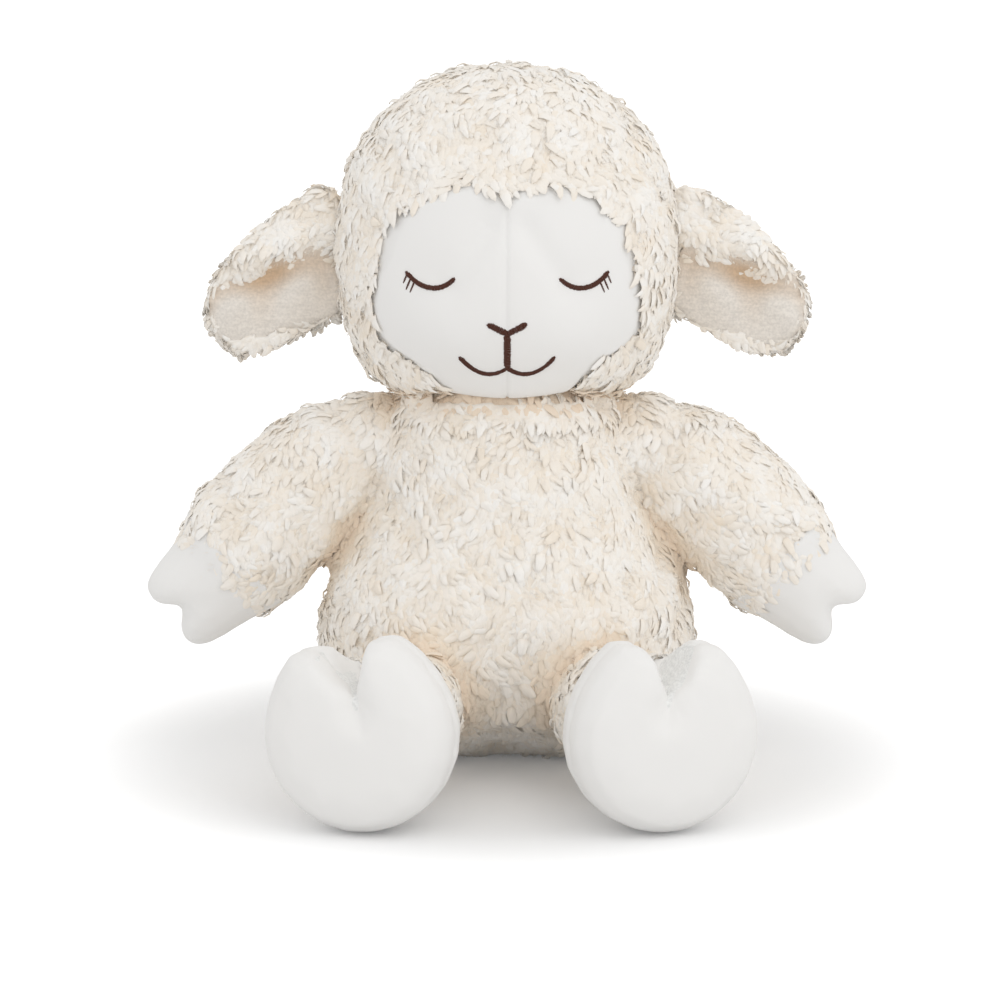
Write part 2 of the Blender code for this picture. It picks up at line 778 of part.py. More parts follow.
build_body(floor, sockets)
face = build_head()
build_neck_cord()
build_nose_and_mouth(face)
for word, side in (("left", 1), ("right", -1)):
    build_eye(face, word, side)
    build_ear(word, side)
    build_arm(word, side)
    build_leg(floor, word, side)
    pivot("ear_pivot_" + word, ear_root(side), ("ear_outer_" + word, "ear_lining_" + word))
    arm_names = ("arm_sleeve_" + word, "hand_hoof_" + word, "arm_stuffing_" + word)
    pivot("shoulder_pivot_" + word, shoulder(side), arm_names)
    leg_names = ("leg_sleeve_" + word, "foot_upper_" + word, "foot_sole_" + word)
    pivot("hip_pivot_" + word, hip(side), (*leg_names, "leg_stuffing_" + word))
pivot("neck_pivot", NECK_PIVOT, ("neck_seam", "hood", "face", "head", "eye", "nose", "ear_pivot"))
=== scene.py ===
"""Finish of a seated plush sheep: curly fleece, smooth velour, lined ears and sewn face.

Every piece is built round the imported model's own solids, so that it follows their size.
"""

import itertools
import math

import bmesh
import bpy
import numpy as np
from bpy.props import FloatProperty, FloatVectorProperty, IntProperty, PointerProperty
from mathutils import Matrix, Vector
from mathutils.bvhtree import BVHTree


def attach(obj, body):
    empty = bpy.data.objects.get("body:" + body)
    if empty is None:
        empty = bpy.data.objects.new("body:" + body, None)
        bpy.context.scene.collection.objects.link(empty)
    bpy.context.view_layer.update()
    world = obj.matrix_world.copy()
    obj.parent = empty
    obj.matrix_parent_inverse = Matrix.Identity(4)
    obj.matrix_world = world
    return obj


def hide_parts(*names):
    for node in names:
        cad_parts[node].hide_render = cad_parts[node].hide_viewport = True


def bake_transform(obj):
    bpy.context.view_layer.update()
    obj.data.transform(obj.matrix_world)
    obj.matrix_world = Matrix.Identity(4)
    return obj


bl_info = {
    "name": "Plush sheep finish",
    "version": (1, 0, 0),
    "blender": (4, 5, 0),
    "location": "View3D > Sidebar > Plush sheep",
    "description": "Dresses the plush sheep in fleece, velour and embroidery",
    "category": "Object",
}

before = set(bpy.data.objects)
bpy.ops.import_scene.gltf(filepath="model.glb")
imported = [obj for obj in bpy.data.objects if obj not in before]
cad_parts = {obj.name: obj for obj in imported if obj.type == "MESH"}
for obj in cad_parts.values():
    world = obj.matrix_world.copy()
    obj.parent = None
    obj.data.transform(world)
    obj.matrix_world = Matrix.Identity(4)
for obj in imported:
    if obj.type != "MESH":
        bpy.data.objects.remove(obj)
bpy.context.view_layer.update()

MM = 0.001
SIDES = (("left", 1.0), ("right", -1.0))
BODY_NODES = ("body_front", "body_back", "body_stuffing", "pellet_bag")
HOOD_NODES = ("hood_crown", "hood_side_left", "hood_side_right")
FACE_NODES = ("face_panel_left", "face_panel_right")

# Fleece lock, as shares of its own height, length and girth from root to tip
LOCK_STEPS = np.array([0.0, 0.30, 0.62, 0.86])
LOCK_RISE_SHARES = np.array([0.0, 0.80, 1.00, 0.92, 0.74])
LOCK_REACH_SHARES = np.array([0.0, 0.16, 0.50, 0.84, 1.0])
LOCK_CURL_SHARES = np.array([0.0, 0.04, 0.32, 0.78, 1.0])
LOCK_GIRTH_SHARES = np.array([0.60, 0.95, 1.00, 0.66])
LOCK_SIDES = 4
LOCK_FLATNESS = 0.32

# Spread of the locks' sizes, girths, heights and curls, and of those that stand proud
LOCK_SIZES = (0.75, 1.25)
LOCK_GIRTHS = (0.8, 1.2)
LOCK_HEIGHTS = (-0.18, 0.18)
LOCK_CURLS = (-0.55, 0.55)
PROUD_HEIGHTS = (0.4, 1.4)
PROUD_SHARE = 0.07

# How far a lock's shading turns to the cloth's, and the least that it faces as its faces do
LEVEL_SHARE = 0.62
FACE_HOLD = 0.4

# Single fibre that stands out of the pile
FIBRE_SIDES = 3
FIBRE_GIRTH = 0.16 * MM
FIBRE_TAPER = 0.8
FIBRE_KNEE = 0.6
FIBRE_LEANS = (-0.1, 0.9)
FIBRE_REACHES = (0.2, 2.4)
FIBRE_TURNS = (-1.5, 1.5)
FIBRE_BENDS = (0.1, 0.5)


def linear(red, green, blue):
    """A colour as seen on a screen, 0 to 255, in the linear values that shaders use."""
    return tuple((channel / 255.0) ** 2.2 for channel in (red, green, blue))


class SHEEP_PG_fleece(bpy.types.PropertyGroup):
    tip: FloatVectorProperty(
        name="Tip colour", description="Colour of the fleece where light reaches it",
        default=linear(253, 250, 245), subtype="COLOR",
    )
    # The root colour is painted warm shade: wool down in the pile drawn warmer and darker, standing in
    # for light scattered among the fibres
    root: FloatVectorProperty(
        name="Root shade colour", description="Colour of the fleece down in the pile",
        default=linear(252, 241, 226), subtype="COLOR",
    )
    # Painted warm shade on the fleece in the creases beside other pieces, where less light falls
    hollow_shade: FloatVectorProperty(
        name="Crease shade colour", description="Colour of the fleece in the creases between pieces",
        default=linear(247, 231, 213), subtype="COLOR",
    )
    spacing: FloatProperty(
        name="Spacing", description="Least distance between the roots of two locks",
        default=1.75 * MM, unit="LENGTH",
    )
    length: FloatProperty(
        name="Length", description="How far a lock lies along the cloth",
        default=7.0 * MM, unit="LENGTH",
    )
    girth: FloatProperty(
        name="Girth", description="Half the width of a lock at its widest",
        default=1.5 * MM, unit="LENGTH",
    )
    pile: FloatProperty(
        name="Pile", description="Depth from the top of the locks to the cloth they are knitted in",
        default=3.6 * MM, unit="LENGTH",
    )
    stray: FloatProperty(
        name="Stray", description="How far the tips stand proud of the solid model",
        default=1.2 * MM, unit="LENGTH",
    )
    fibres: FloatProperty(name="Fibres", description="Single fibres for each lock", default=1.5)
    seed: IntProperty(name="Seed", description="Start of the random draws", default=7)


class SHEEP_PG_velour(bpy.types.PropertyGroup):
    colour: FloatVectorProperty(
        name="Velour", description="Colour of face, hands and feet",
        default=linear(206, 207, 207), subtype="COLOR",
    )
    lining: FloatVectorProperty(
        name="Ear lining", description="Colour of the cloth inside the ears",
        default=linear(233, 226, 217), subtype="COLOR",
    )
    # Painted warm shade on the lining down in its dent and folds, where less light falls
    hollow_shade: FloatVectorProperty(
        name="Ear hollow", description="Colour of the lining down in its folds",
        default=linear(214, 187, 158), subtype="COLOR",
    )
    nap: FloatProperty(
        name="Nap", description="Height of the short nap", default=0.35 * MM, unit="LENGTH",
    )


class SHEEP_PG_thread(bpy.types.PropertyGroup):
    colour: FloatVectorProperty(
        name="Thread", description="Colour of the embroidery",
        default=linear(108, 62, 50), subtype="COLOR",
    )
    pitch: FloatProperty(
        name="Stitch pitch", description="Distance from one satin stitch to the next",
        default=0.42 * MM, unit="LENGTH",
    )


# Meshes

def only(piece):
    bpy.ops.object.select_all(action="DESELECT")
    piece.select_set(True)
    bpy.context.view_layer.objects.active = piece


def finish_with(piece, kind, **settings):
    """Adds a modifier with these settings and applies it."""
    only(piece)
    step = piece.modifiers.new(kind.lower(), kind)
    for name, value in settings.items():
        setattr(step, name, value)
    bpy.ops.object.modifier_apply(modifier=step.name)


def place(name, mesh):
    piece = bpy.data.objects.new(name, mesh)
    bpy.context.scene.collection.objects.link(piece)
    return piece


# Voxel size and rounds of smoothing of the forms
TRUNK_FORM = (3.0 * MM, 16)
HEAD_FORM = (3.0 * MM, 40)
FACE_FORM = (4.0 * MM, 60)
NECK_FORM = (3.0 * MM, 20)
LIMB_FORM = (2.5 * MM, 5)
EAR_FORM = (1.5 * MM, 6)
FILLING_FORM = (3.0 * MM, 3)


def form_of(name, nodes, voxel, rounds, fills=()):
    """One closed smooth form round the outside of these solids and of balls that fill creases."""
    bm = bmesh.new()
    for node in nodes:
        bm.from_mesh(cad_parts[node].data)
    bmesh.ops.remove_doubles(bm, verts=bm.verts, dist=0.001 * MM)
    for middle, radius in fills:
        bmesh.ops.create_icosphere(bm, subdivisions=4, radius=radius, matrix=Matrix.Translation(middle))
    mesh = bpy.data.meshes.new(name)
    bm.to_mesh(mesh)
    bm.free()
    piece = place(name, mesh)
    only(piece)
    piece.data.remesh_voxel_size = voxel
    bpy.ops.object.voxel_remesh()
    before = points_of(piece.data)
    finish_with(piece, "SMOOTH", factor=0.5, iterations=rounds)
    shrunk = ((before - points_of(piece.data)) * normals_of(piece.data)).sum(-1)
    sink(piece, np.full(len(shrunk), -shrunk.mean()))
    piece.data.shade_smooth()
    return piece


# Air that fills the cloth of padded pieces
PUFF_PRESSURE = 4.0
PUFF_FRAMES = 20


def puff(piece, pinned, most):
    """Lets air fill the cloth of a piece between its seams, which stay where they are."""
    start = points_of(piece.data)
    seams = piece.vertex_groups.new(name="seams")
    seams.add([int(i) for i in np.flatnonzero(pinned)], 1.0, "REPLACE")
    only(piece)
    cloth = piece.modifiers.new("cloth", "CLOTH")
    cloth.settings.use_pressure = True
    cloth.settings.uniform_pressure_force = PUFF_PRESSURE
    cloth.settings.vertex_group_mass = "seams"
    cloth.settings.effector_weights.gravity = 0.0
    cloth.point_cache.frame_start = 1
    cloth.point_cache.frame_end = PUFF_FRAMES
    scene = bpy.context.scene
    for step in range(1, PUFF_FRAMES + 1):
        scene.frame_set(step)
    bpy.ops.object.modifier_apply(modifier=cloth.name)
    scene.frame_set(1)
    moved = points_of(piece.data) - start
    reach = np.linalg.norm(moved, axis=1, keepdims=True)
    put(piece.data, start + moved * np.minimum(1.0, most / np.maximum(reach, 1e-9)))


def values_of(items, name, width=3, kind=float):
    """One value of each of a mesh's parts, as rows of an array."""
    values = np.empty(len(items) * width, kind)
    items.foreach_get(name, values)
    return values.reshape(-1, width)


def points_of(mesh):
    return values_of(mesh.vertices, "co")


def normals_of(mesh):
    return values_of(mesh.vertices, "normal")


def triangles_of(mesh):
    mesh.calc_loop_triangles()
    return values_of(mesh.loop_triangles, "vertices", kind=np.int32)


def put(mesh, points):
    mesh.vertices.foreach_set("co", points.astype(np.float32).ravel())
    mesh.update()


def sink(piece, depths):
    """Moves each point of a piece inwards by its depth."""
    put(piece.data, points_of(piece.data) - normals_of(piece.data) * depths[:, None])


FACE_CLOTH = 1.2 * MM
VELOUR_CLOTH = 1.0 * MM
LINING_CLOTH = 0.8 * MM


def thicken(piece, thickness):
    """Gives a cloth its thickness inwards and shades it smooth."""
    finish_with(piece, "SOLIDIFY", thickness=thickness, offset=-1.0)
    piece.data.shade_smooth()


def mesh_from(name, points, faces):
    """A smooth mesh from points and groups of faces that each have one count of corners."""
    mesh = bpy.data.meshes.new(name)
    mesh.vertices.add(len(points))
    mesh.vertices.foreach_set("co", points.astype(np.float32).ravel())
    corners = np.concatenate([group.ravel() for group in faces])
    counts = np.concatenate([np.full(len(group), group.shape[1]) for group in faces])
    mesh.loops.add(len(corners))
    mesh.loops.foreach_set("vertex_index", corners.astype(np.int32))
    mesh.polygons.add(len(counts))
    starts = np.concatenate([[0], np.cumsum(counts)[:-1]])
    mesh.polygons.foreach_set("loop_start", starts.astype(np.int32))
    mesh.update(calc_edges=True)
    mesh.shade_smooth()
    return mesh


def add_values(mesh, name, kind, values):
    layer = mesh.attributes.new(name, kind, "POINT")
    key = "value" if kind == "FLOAT" else "vector"
    layer.data.foreach_set(key, np.asarray(values, np.float32).ravel())


def unit(vectors):
    lengths = np.linalg.norm(vectors, axis=-1, keepdims=True)
    return vectors / np.maximum(lengths, 1e-9)


def flat_to(vectors, normals):
    """The part of each vector that lies along the surface, at length one."""
    along = (vectors * normals).sum(-1, keepdims=True)
    return unit(vectors - along * normals)


def bell(distance, width):
    return np.exp(-((distance / width) ** 2))


def eased(share):
    """A share held between 0 and 1, with soft ends."""
    share = np.clip(share, 0, 1)
    return share * share * (3 - 2 * share)


class Solids:
    """How far points lie from some of the model's solids."""

    def __init__(self, nodes):
        points, faces = [], []
        for node in nodes:
            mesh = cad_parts[node].data
            start = len(points)
            points.extend(v.co.copy() for v in mesh.vertices)
            faces.extend(tuple(start + i for i in p.vertices) for p in mesh.polygons)
        self.tree = BVHTree.FromPolygons(points, faces)

    def distance(self, places):
        return np.array([self.tree.find_nearest(Vector(p))[3] for p in places])


def keep_faces(piece, mask, whole=True):
    """Keeps the faces that pass the mask with all their corners, or with their first."""
    bm = bmesh.new()
    bm.from_mesh(piece.data)
    bm.verts.ensure_lookup_table()
    corners = None if whole else 1
    gone = [f for f in bm.faces if not all(mask[v.index] for v in f.verts[:corners])]
    bmesh.ops.delete(bm, geom=gone, context="FACES")
    bm.to_mesh(piece.data)
    bm.free()


# Fleece

TRIES = 3.0
NEIGHBOURS = tuple(itertools.product((-1, 0, 1), repeat=3))


def spread(mesh, mask, spacing, rng):
    """Points on the masked part of a mesh, no nearer than the spacing, with their normals."""
    points, normals, triangles = points_of(mesh), normals_of(mesh), triangles_of(mesh)
    triangles = triangles[mask[triangles[:, 0]]]
    a, b, c = (points[triangles[:, i]] for i in range(3))
    areas = np.linalg.norm(np.cross(b - a, c - a), axis=1) / 2
    count = int(areas.sum() / spacing**2 * TRIES)
    picked = rng.choice(len(triangles), count, p=areas / areas.sum())
    u, v = rng.random(count), rng.random(count)
    over = u + v > 1
    u[over], v[over] = 1 - u[over], 1 - v[over]
    weights = np.stack([1 - u - v, u, v], axis=1)
    corners = triangles[picked]
    spots = np.einsum("ij,ijk->ik", weights, points[corners])
    ways = unit(np.einsum("ij,ijk->ik", weights, normals[corners]))
    near, kept = {}, []
    for i, (x, y, z) in enumerate(np.floor(spots / spacing).astype(int)):
        around = (j for dx, dy, dz in NEIGHBOURS for j in near.get((x + dx, y + dy, z + dz), ()))
        if all(((spots[i] - spots[j]) ** 2).sum() >= spacing**2 for j in around):
            near.setdefault((x, y, z), []).append(i)
            kept.append(i)
    return spots[kept], ways[kept]


def turned(vectors, axes, angles):
    """Vectors turned about unit axes that they are square to."""
    cos, sin = np.cos(angles)[:, None], np.sin(angles)[:, None]
    return vectors * cos + np.cross(axes, vectors) * sin


# Mounds and swirls of the fleece, as the length of their waves
MOUND = 3.0 * MM
MOUND_SHARE = 0.5
SWIRL = 4.2 * MM
SWIRL_TURN = 0.5
JITTER = 0.32
DRIFT_WAYS = np.array([[0.9, 0.2, 0.4], [-0.3, 0.8, 0.5], [0.2, -0.5, 0.8], [0.7, 0.6, -0.6]])


def drift(points, length):
    """A smooth field over space, mostly between -1 and 1, that changes over this length."""
    return sum(np.sin(points @ way / length + 2.0 * i) for i, way in enumerate(DRIFT_WAYS)) / 1.6


# Tone of wool: its base, the painted light and shade that mounds add (lighter on them, darker between
# them), and the random share of real tone that the draw adds
TONE = 0.3
MOUND_PAINTED_LIGHT = 0.15
TONE_OF_DRAW = 0.55


def tone_of(mounds, draws, crease_shade):
    """How light wool is drawn: towards 1 on mounds and 0 between them as painted light and shade, with a
    random share of real tone, and down to -1 for painted shade far into a crease.
    """
    return np.clip(TONE + MOUND_PAINTED_LIGHT * mounds + TONE_OF_DRAW * draws, 0, 1) * (1 - crease_shade) - crease_shade


def circle(sides):
    """Cosines and sines of the points of a ring."""
    angles = np.arange(sides) * math.tau / sides
    return np.cos(angles)[:, None], np.sin(angles)[:, None]


def tube(rings, sides):
    """Faces between rings of points, each ring beside the next."""
    i = np.arange(sides)
    j = (i + 1) % sides
    corners = np.stack([i, j, sides + j, sides + i], axis=1)
    return np.concatenate([corners + ring * sides for ring in range(rings - 1)])


def cone(start, sides):
    """Faces from the ring of points that begins at this one to the tip that comes after it."""
    i = np.arange(sides)
    return np.stack([start + i, start + (i + 1) % sides, np.full(sides, start + sides)], axis=1)


def repeated(faces, count, each):
    """The same faces on many like shapes, whose points follow one another."""
    offsets = (np.arange(count) * each)[:, None, None]
    return (faces[None] + offsets).reshape(-1, faces.shape[1])


def locks(roots, ways, lays, look, rng, crease_shade, size=1.0):
    """Curled locks of fleece: points, quads, triangles, and the values of each point."""
    count, rings = len(roots), len(LOCK_STEPS)
    scale = size * rng.uniform(*LOCK_SIZES, count)
    height = look.pile + look.stray * rng.uniform(*LOCK_HEIGHTS, count)
    height += look.stray * rng.uniform(*PROUD_HEIGHTS, count) * (rng.random(count) < PROUD_SHARE)
    length = look.length * scale
    curl = look.length * rng.uniform(*LOCK_CURLS, count)
    height, length, curl = (values[:, None, None] for values in (height, length, curl))
    across = np.cross(ways, lays)
    line = (
        roots[:, None]
        + ways[:, None] * height * LOCK_RISE_SHARES[None, :, None]
        + lays[:, None] * length * LOCK_REACH_SHARES[None, :, None]
        + across[:, None] * curl * LOCK_CURL_SHARES[None, :, None]
    )
    over = ways[:, None] * look.pile * (1 - LOCK_RISE_SHARES[None, :, None])
    mounds = drift(line + over, MOUND) * MOUND_SHARE * look.stray
    line += ways[:, None] * mounds[:, :, None]
    along = unit(np.gradient(line, axis=1))
    side = np.broadcast_to(across[:, None], along.shape)
    side = unit(side - (side * along).sum(-1, keepdims=True) * along)
    up = np.cross(side, along)[:, :rings, None]
    side = side[:, :rings, None]
    girth = (look.girth * scale * rng.uniform(*LOCK_GIRTHS, count))[:, None, None, None]
    cos, sin = circle(LOCK_SIDES)
    ring = side * cos + up * sin * LOCK_FLATNESS
    body = line[:, :rings, None] + ring * girth * LOCK_GIRTH_SHARES[None, :, None, None]
    points = np.concatenate([body.reshape(count, -1, 3), line[:, -1:]], axis=1).reshape(-1, 3)
    each = rings * LOCK_SIDES + 1
    quads = repeated(tube(rings, LOCK_SIDES)[:, [1, 0, 3, 2]], count, each)
    tips = repeated(cone((rings - 1) * LOCK_SIDES, LOCK_SIDES)[:, [1, 0, 2]], count, each)
    tip = np.append(np.repeat(LOCK_STEPS, LOCK_SIDES), 1.0)
    places = [np.append(np.tile(values[:, 0], rings), 0.0) for values in (cos, sin)] + [tip]
    fibre = np.tile(np.stack(places, axis=1), (count, 1))
    fibre += np.repeat(rng.uniform(0, 40, (count, 3)), each, axis=0)
    # Painted light on the mounds of the fleece and painted shade between them, with a random share of
    # real tone and painted crease shade
    mound_light = drift(roots + ways * look.pile, MOUND)
    tone = np.repeat(tone_of(mound_light, rng.random(count), crease_shade), each)
    own = unit(side * cos + up * sin / LOCK_FLATNESS)
    own += (ways[:, None, None] - own) * LEVEL_SHARE
    facing = np.concatenate([own.reshape(count, -1, 3), unit(ways + lays)[:, None]], axis=1)
    return points, quads, tips, np.tile(tip, count), fibre, tone, unit(facing.reshape(-1, 3))


def fibres(roots, ways, lays, look, rng, crease_shade):
    """Single fibres that stand out of the pile, three-sided and pointed."""
    count = len(roots)
    out = unit(ways + lays * rng.uniform(*FIBRE_LEANS, (count, 1)))
    length = (look.pile + look.stray * rng.uniform(*FIBRE_REACHES, count))[:, None]
    bend = turned(lays, ways, rng.uniform(*FIBRE_TURNS, count)) * length
    bend = bend * rng.uniform(*FIBRE_BENDS, (count, 1))
    middle = roots + out * length * FIBRE_KNEE + bend * FIBRE_KNEE / 2
    end = roots + out * length + bend
    side = flat_to(lays, out)
    cos, sin = circle(FIBRE_SIDES)
    ring = side[:, None] * cos + np.cross(out, side)[:, None] * sin
    low = roots[:, None] + ring * FIBRE_GIRTH
    high = middle[:, None] + ring * FIBRE_GIRTH * FIBRE_TAPER
    points = np.concatenate([low, high, end[:, None]], axis=1).reshape(-1, 3)
    each = 2 * FIBRE_SIDES + 1
    quads = repeated(tube(2, FIBRE_SIDES), count, each)
    tips = repeated(cone(FIBRE_SIDES, FIBRE_SIDES), count, each)
    tip = np.tile(np.array([0.5] * FIBRE_SIDES + [0.9] * FIBRE_SIDES + [1.0]), count)
    # Each fibre's tone: a random share of real tone, lowered by painted crease shade
    tone = np.repeat(rng.random(count) * (1 - crease_shade) - crease_shade, each)
    return points, quads, tips, tip, np.zeros((len(points), 3)), tone, np.repeat(ways, each, axis=0)


GROUND = 0.2 * MM


def joined(name, batches):
    """One mesh from batches of points, quads, triangles and their values."""
    points, quads, tips, tip, fibre, tone, facing = zip(*batches)
    starts = np.cumsum([0] + [len(group) for group in points])
    quads, tips = (
        np.concatenate([group + start for group, start in zip(kind, starts)]) for kind in (quads, tips)
    )
    points = np.concatenate(points)
    points[:, 2] = np.maximum(points[:, 2], GROUND)
    mesh = mesh_from(name, points, [quads, tips])
    add_values(mesh, "tip", "FLOAT", np.concatenate(tip))
    add_values(mesh, "fibre", "FLOAT_VECTOR", np.concatenate(fibre))
    # Tone: random real tone with painted light and shade, and below 0 painted crease shade
    add_values(mesh, "tone", "FLOAT", np.concatenate(tone))
    shade_along(mesh, np.concatenate(facing))
    return mesh


def shade_along(mesh, facing):
    """Shades faces by the directions of their points, each held near the face's own."""
    corners = values_of(mesh.loops, "vertex_index", 1, np.int32)[:, 0]
    counts = values_of(mesh.polygons, "loop_total", 1, np.int32)[:, 0]
    flat = np.repeat(values_of(mesh.polygons, "normal"), counts, axis=0)
    ways = facing[corners]
    lacking = np.maximum(FACE_HOLD - (ways * flat).sum(-1, keepdims=True), 0)
    mesh.normals_split_custom_set(unit(ways + flat * lacking))


# Knitted cloth under the locks, with its fine waves and the scale of its grain
BACKING_WAVES = DRIFT_WAYS[:3]
BACKING_WAVE = 1.3 * MM
BACKING_ROUGH = 0.15 * MM
BACKING_THICKNESS = 0.8 * MM
BACKING_DEPTH_SHARE = 0.06
BACKING_GRAIN = 2.5 * MM


def backing(form, mask, look, crease):
    """The knitted cloth that the locks stand on, as a thin closed sheet under the pile."""
    sheet = place(form.name + "_backing", form.data.copy())
    keep_faces(sheet, mask, whole=False)
    points = points_of(sheet.data)
    waves = sum(np.sin(points @ way / BACKING_WAVE) for way in BACKING_WAVES)
    mounds = look.stray * MOUND_SHARE * drift(points, MOUND)
    depths = look.pile * BACKING_DEPTH_SHARE - mounds + BACKING_ROUGH * waves
    points -= normals_of(sheet.data) * depths[:, None]
    points[:, 2] = np.maximum(points[:, 2], GROUND)
    put(sheet.data, points)
    finish_with(sheet, "SOLIDIFY", thickness=BACKING_THICKNESS, offset=-1.0)
    points, triangles, normals = points_of(sheet.data), triangles_of(sheet.data), normals_of(sheet.data)
    none = np.zeros((0, 4), np.int32)
    # Tone of the backing: painted light on its mounds and painted shade between them, lowered by painted
    # crease shade
    tone = tone_of(drift(points, MOUND), 0.5, crease(points))
    bpy.data.objects.remove(sheet)
    # A tip share of 0.5 leaves some of the painted root shade in the backing's colour
    return points, none, triangles, np.full(len(points), 0.5), points / BACKING_GRAIN, tone, normals


def fleece(name, form, owned, lay, look, seed, crease, size=1.0):
    """A panel of fleece on the part of a form where owned says so, its locks laid as lay says."""
    rng = np.random.default_rng(seed)
    mask = owned(points_of(form.data), normals_of(form.data))
    spots, ways = spread(form.data, mask, look.spacing * size, rng)
    lays = flat_to(lay(spots, ways), ways)
    lays = turned(lays, ways, SWIRL_TURN * drift(spots, SWIRL) + rng.normal(0.0, JITTER, len(spots)))
    # Painted crease shade of each lock, from how near it lies to the solids beside it
    crease_shade = crease(spots)
    grown = locks(spots - ways * look.pile, ways, lays, look, rng, crease_shade, size)
    more = rng.integers(0, len(spots), int(len(spots) * look.fibres))
    shift = rng.normal(0.0, look.spacing / 2, (len(more), 3))
    shift -= (shift * ways[more]).sum(-1, keepdims=True) * ways[more]
    roots = spots[more] + shift - ways[more] * look.pile
    loose = fibres(roots, ways[more], lays[more], look, rng, crease_shade[more])
    cloth = backing(form, mask, look, crease)
    piece = place(name, joined(name, [cloth, grown, loose]))
    piece.data.materials.append(bpy.data.materials["curly fleece"])
    return piece


HIDDEN_OVER = 160.0 * MM


def nearest_among(nodes, others):
    """Says of places whether they are nearer to these solids than to the others."""
    mine, rest = Solids(nodes), Solids(others)

    def owned(spots, ways):
        return mine.distance(spots) <= rest.distance(spots)

    return owned


def below(owned):
    """The same ownership, without what the head hides."""
    return lambda spots, ways: owned(spots, ways) & (spots[:, 2] < HIDDEN_OVER)


# Painted crease shade: how far it reaches from the solids beside a piece, and over what height it fades
# out below each group's top
CREASE_REACH = 9.0 * MM
CREASE_FADE = 12.0 * MM


def crease_shade_near(*groups):
    """Painted crease shade: how far into the creases beside groups of solids places lie, below a height
    for each.
    """
    sides = [(Solids(nodes), top) for nodes, top in groups]

    def crease(spots):
        shares = [
            bell(solids.distance(spots), CREASE_REACH) * np.clip((top - spots[:, 2]) / CREASE_FADE, 0, 1)
            for solids, top in sides
        ]
        return np.max(shares, axis=0)

    return crease


def evenly(share):
    return lambda spots: np.full(len(spots), share)


def towards(way):
    """Locks that all lie one way."""
    return lambda spots, ways: np.tile(np.array(way), (len(spots), 1))


downwards = towards((0.0, 0.0, -1.0))


def declare(piece, nodes, body=None):
    """Hides the solids that a piece stands for and, where one body carries all of it, sets the piece on
    that body.
    """
    if body:
        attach(piece, body)
    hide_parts(*nodes)


# Materials

STRAND_STRETCH = (3.6, 3.6, 0.7)
# Share along a lock over which the painted root shade gives way to the tip colour
TIP_RANGE = (0.05, 0.62)
NAP_STRETCH = (0.45, 0.45, 1.9)
NAP_RANGE = (0.38, 0.62)
NAP_FINE = 950.0
NAP_BRUSHED = 420.0
SHEEN_TINT = (1.0, 0.96, 0.90, 1.0)


def feed(tree, made, inputs):
    """Gives a shader node its inputs, each a value or the output that feeds it."""
    for name, value in inputs.items():
        if isinstance(value, bpy.types.NodeSocket):
            tree.links.new(value, made.inputs[name])
        else:
            made.inputs[name].default_value = value


def add(tree, kind, inputs=None, **settings):
    """Adds a shader node with its inputs and settings, and gives its outputs."""
    made = tree.nodes.new("ShaderNode" + kind)
    for name, value in settings.items():
        setattr(made, name, value)
    feed(tree, made, inputs or {})
    return made.outputs


def ranged(tree, value, source=(0.0, 1.0), target=(0.0, 1.0), **settings):
    """A value carried from its range into another."""
    inputs = {"Value": value, "From Min": source[0], "From Max": source[1]}
    inputs.update({"To Min": target[0], "To Max": target[1]})
    return add(tree, "MapRange", inputs, **settings)["Result"]


def mixed(tree, share, first, second):
    return add(tree, "Mix", {"Factor": share, "A": first, "B": second}, data_type="RGBA")["Result"]


def effect_group(name, colours):
    """A shader group that takes these colours and gives out a colour and a height."""
    tree = bpy.data.node_groups.new(name, "ShaderNodeTree")
    for colour in colours:
        tree.interface.new_socket(name=colour, in_out="INPUT", socket_type="NodeSocketColor")
    tree.interface.new_socket(name="Colour", in_out="OUTPUT", socket_type="NodeSocketColor")
    tree.interface.new_socket(name="Height", in_out="OUTPUT", socket_type="NodeSocketFloat")
    return tree, tree.nodes.new("NodeGroupInput").outputs, tree.nodes.new("NodeGroupOutput")


def fibre_group():
    """Fine lengthwise fibres of a lock, as a height, and its tone from root to tip, with painted warm
    shade at the root and in creases.
    """
    tree, given, result = effect_group("lock fibres", ("Root", "Tip", "Hollow shade"))
    tip, tone = (add(tree, "Attribute", attribute_name=name)["Fac"] for name in ("tip", "tone"))
    fibre = add(tree, "Attribute", attribute_name="fibre")["Vector"]
    stretched = add(tree, "Mapping", {"Vector": fibre, "Scale": STRAND_STRETCH})["Vector"]
    strands = add(tree, "TexNoise", {"Vector": stretched, "Scale": 1.0, "Detail": 2.0})["Fac"]
    # Painted warm shade: the root colour at the foot of each lock gives way to the tip colour along it,
    # and holds on further where the tone is low
    depth = ranged(tree, tip, TIP_RANGE, interpolation_type="SMOOTHSTEP")
    pale = ranged(tree, tone, target=(0.1, 1.0))
    share = add(tree, "Math", {0: depth, 1: pale}, operation="MULTIPLY")["Value"]
    wool = mixed(tree, share, given["Root"], given["Tip"])
    # Painted crease shade: the crease colour takes over as the tone falls from 0 to -1
    crease_shade = ranged(tree, tone, (-1.0, 0.0), (1.0, 0.0))
    crease_shaded_wool = mixed(tree, crease_shade, wool, given["Hollow shade"])
    # Darker and more saturated where the tone is low: random real tone, with painted shade between mounds
    # and in creases
    bright = ranged(tree, tone, target=(0.97, 1.01))
    strong = ranged(tree, tone, target=(1.2, 0.9))
    inputs = {"Value": bright, "Saturation": strong, "Color": crease_shaded_wool}
    colour = add(tree, "HueSaturation", inputs)["Color"]
    feed(tree, result, {"Colour": colour, "Height": strands})
    return tree


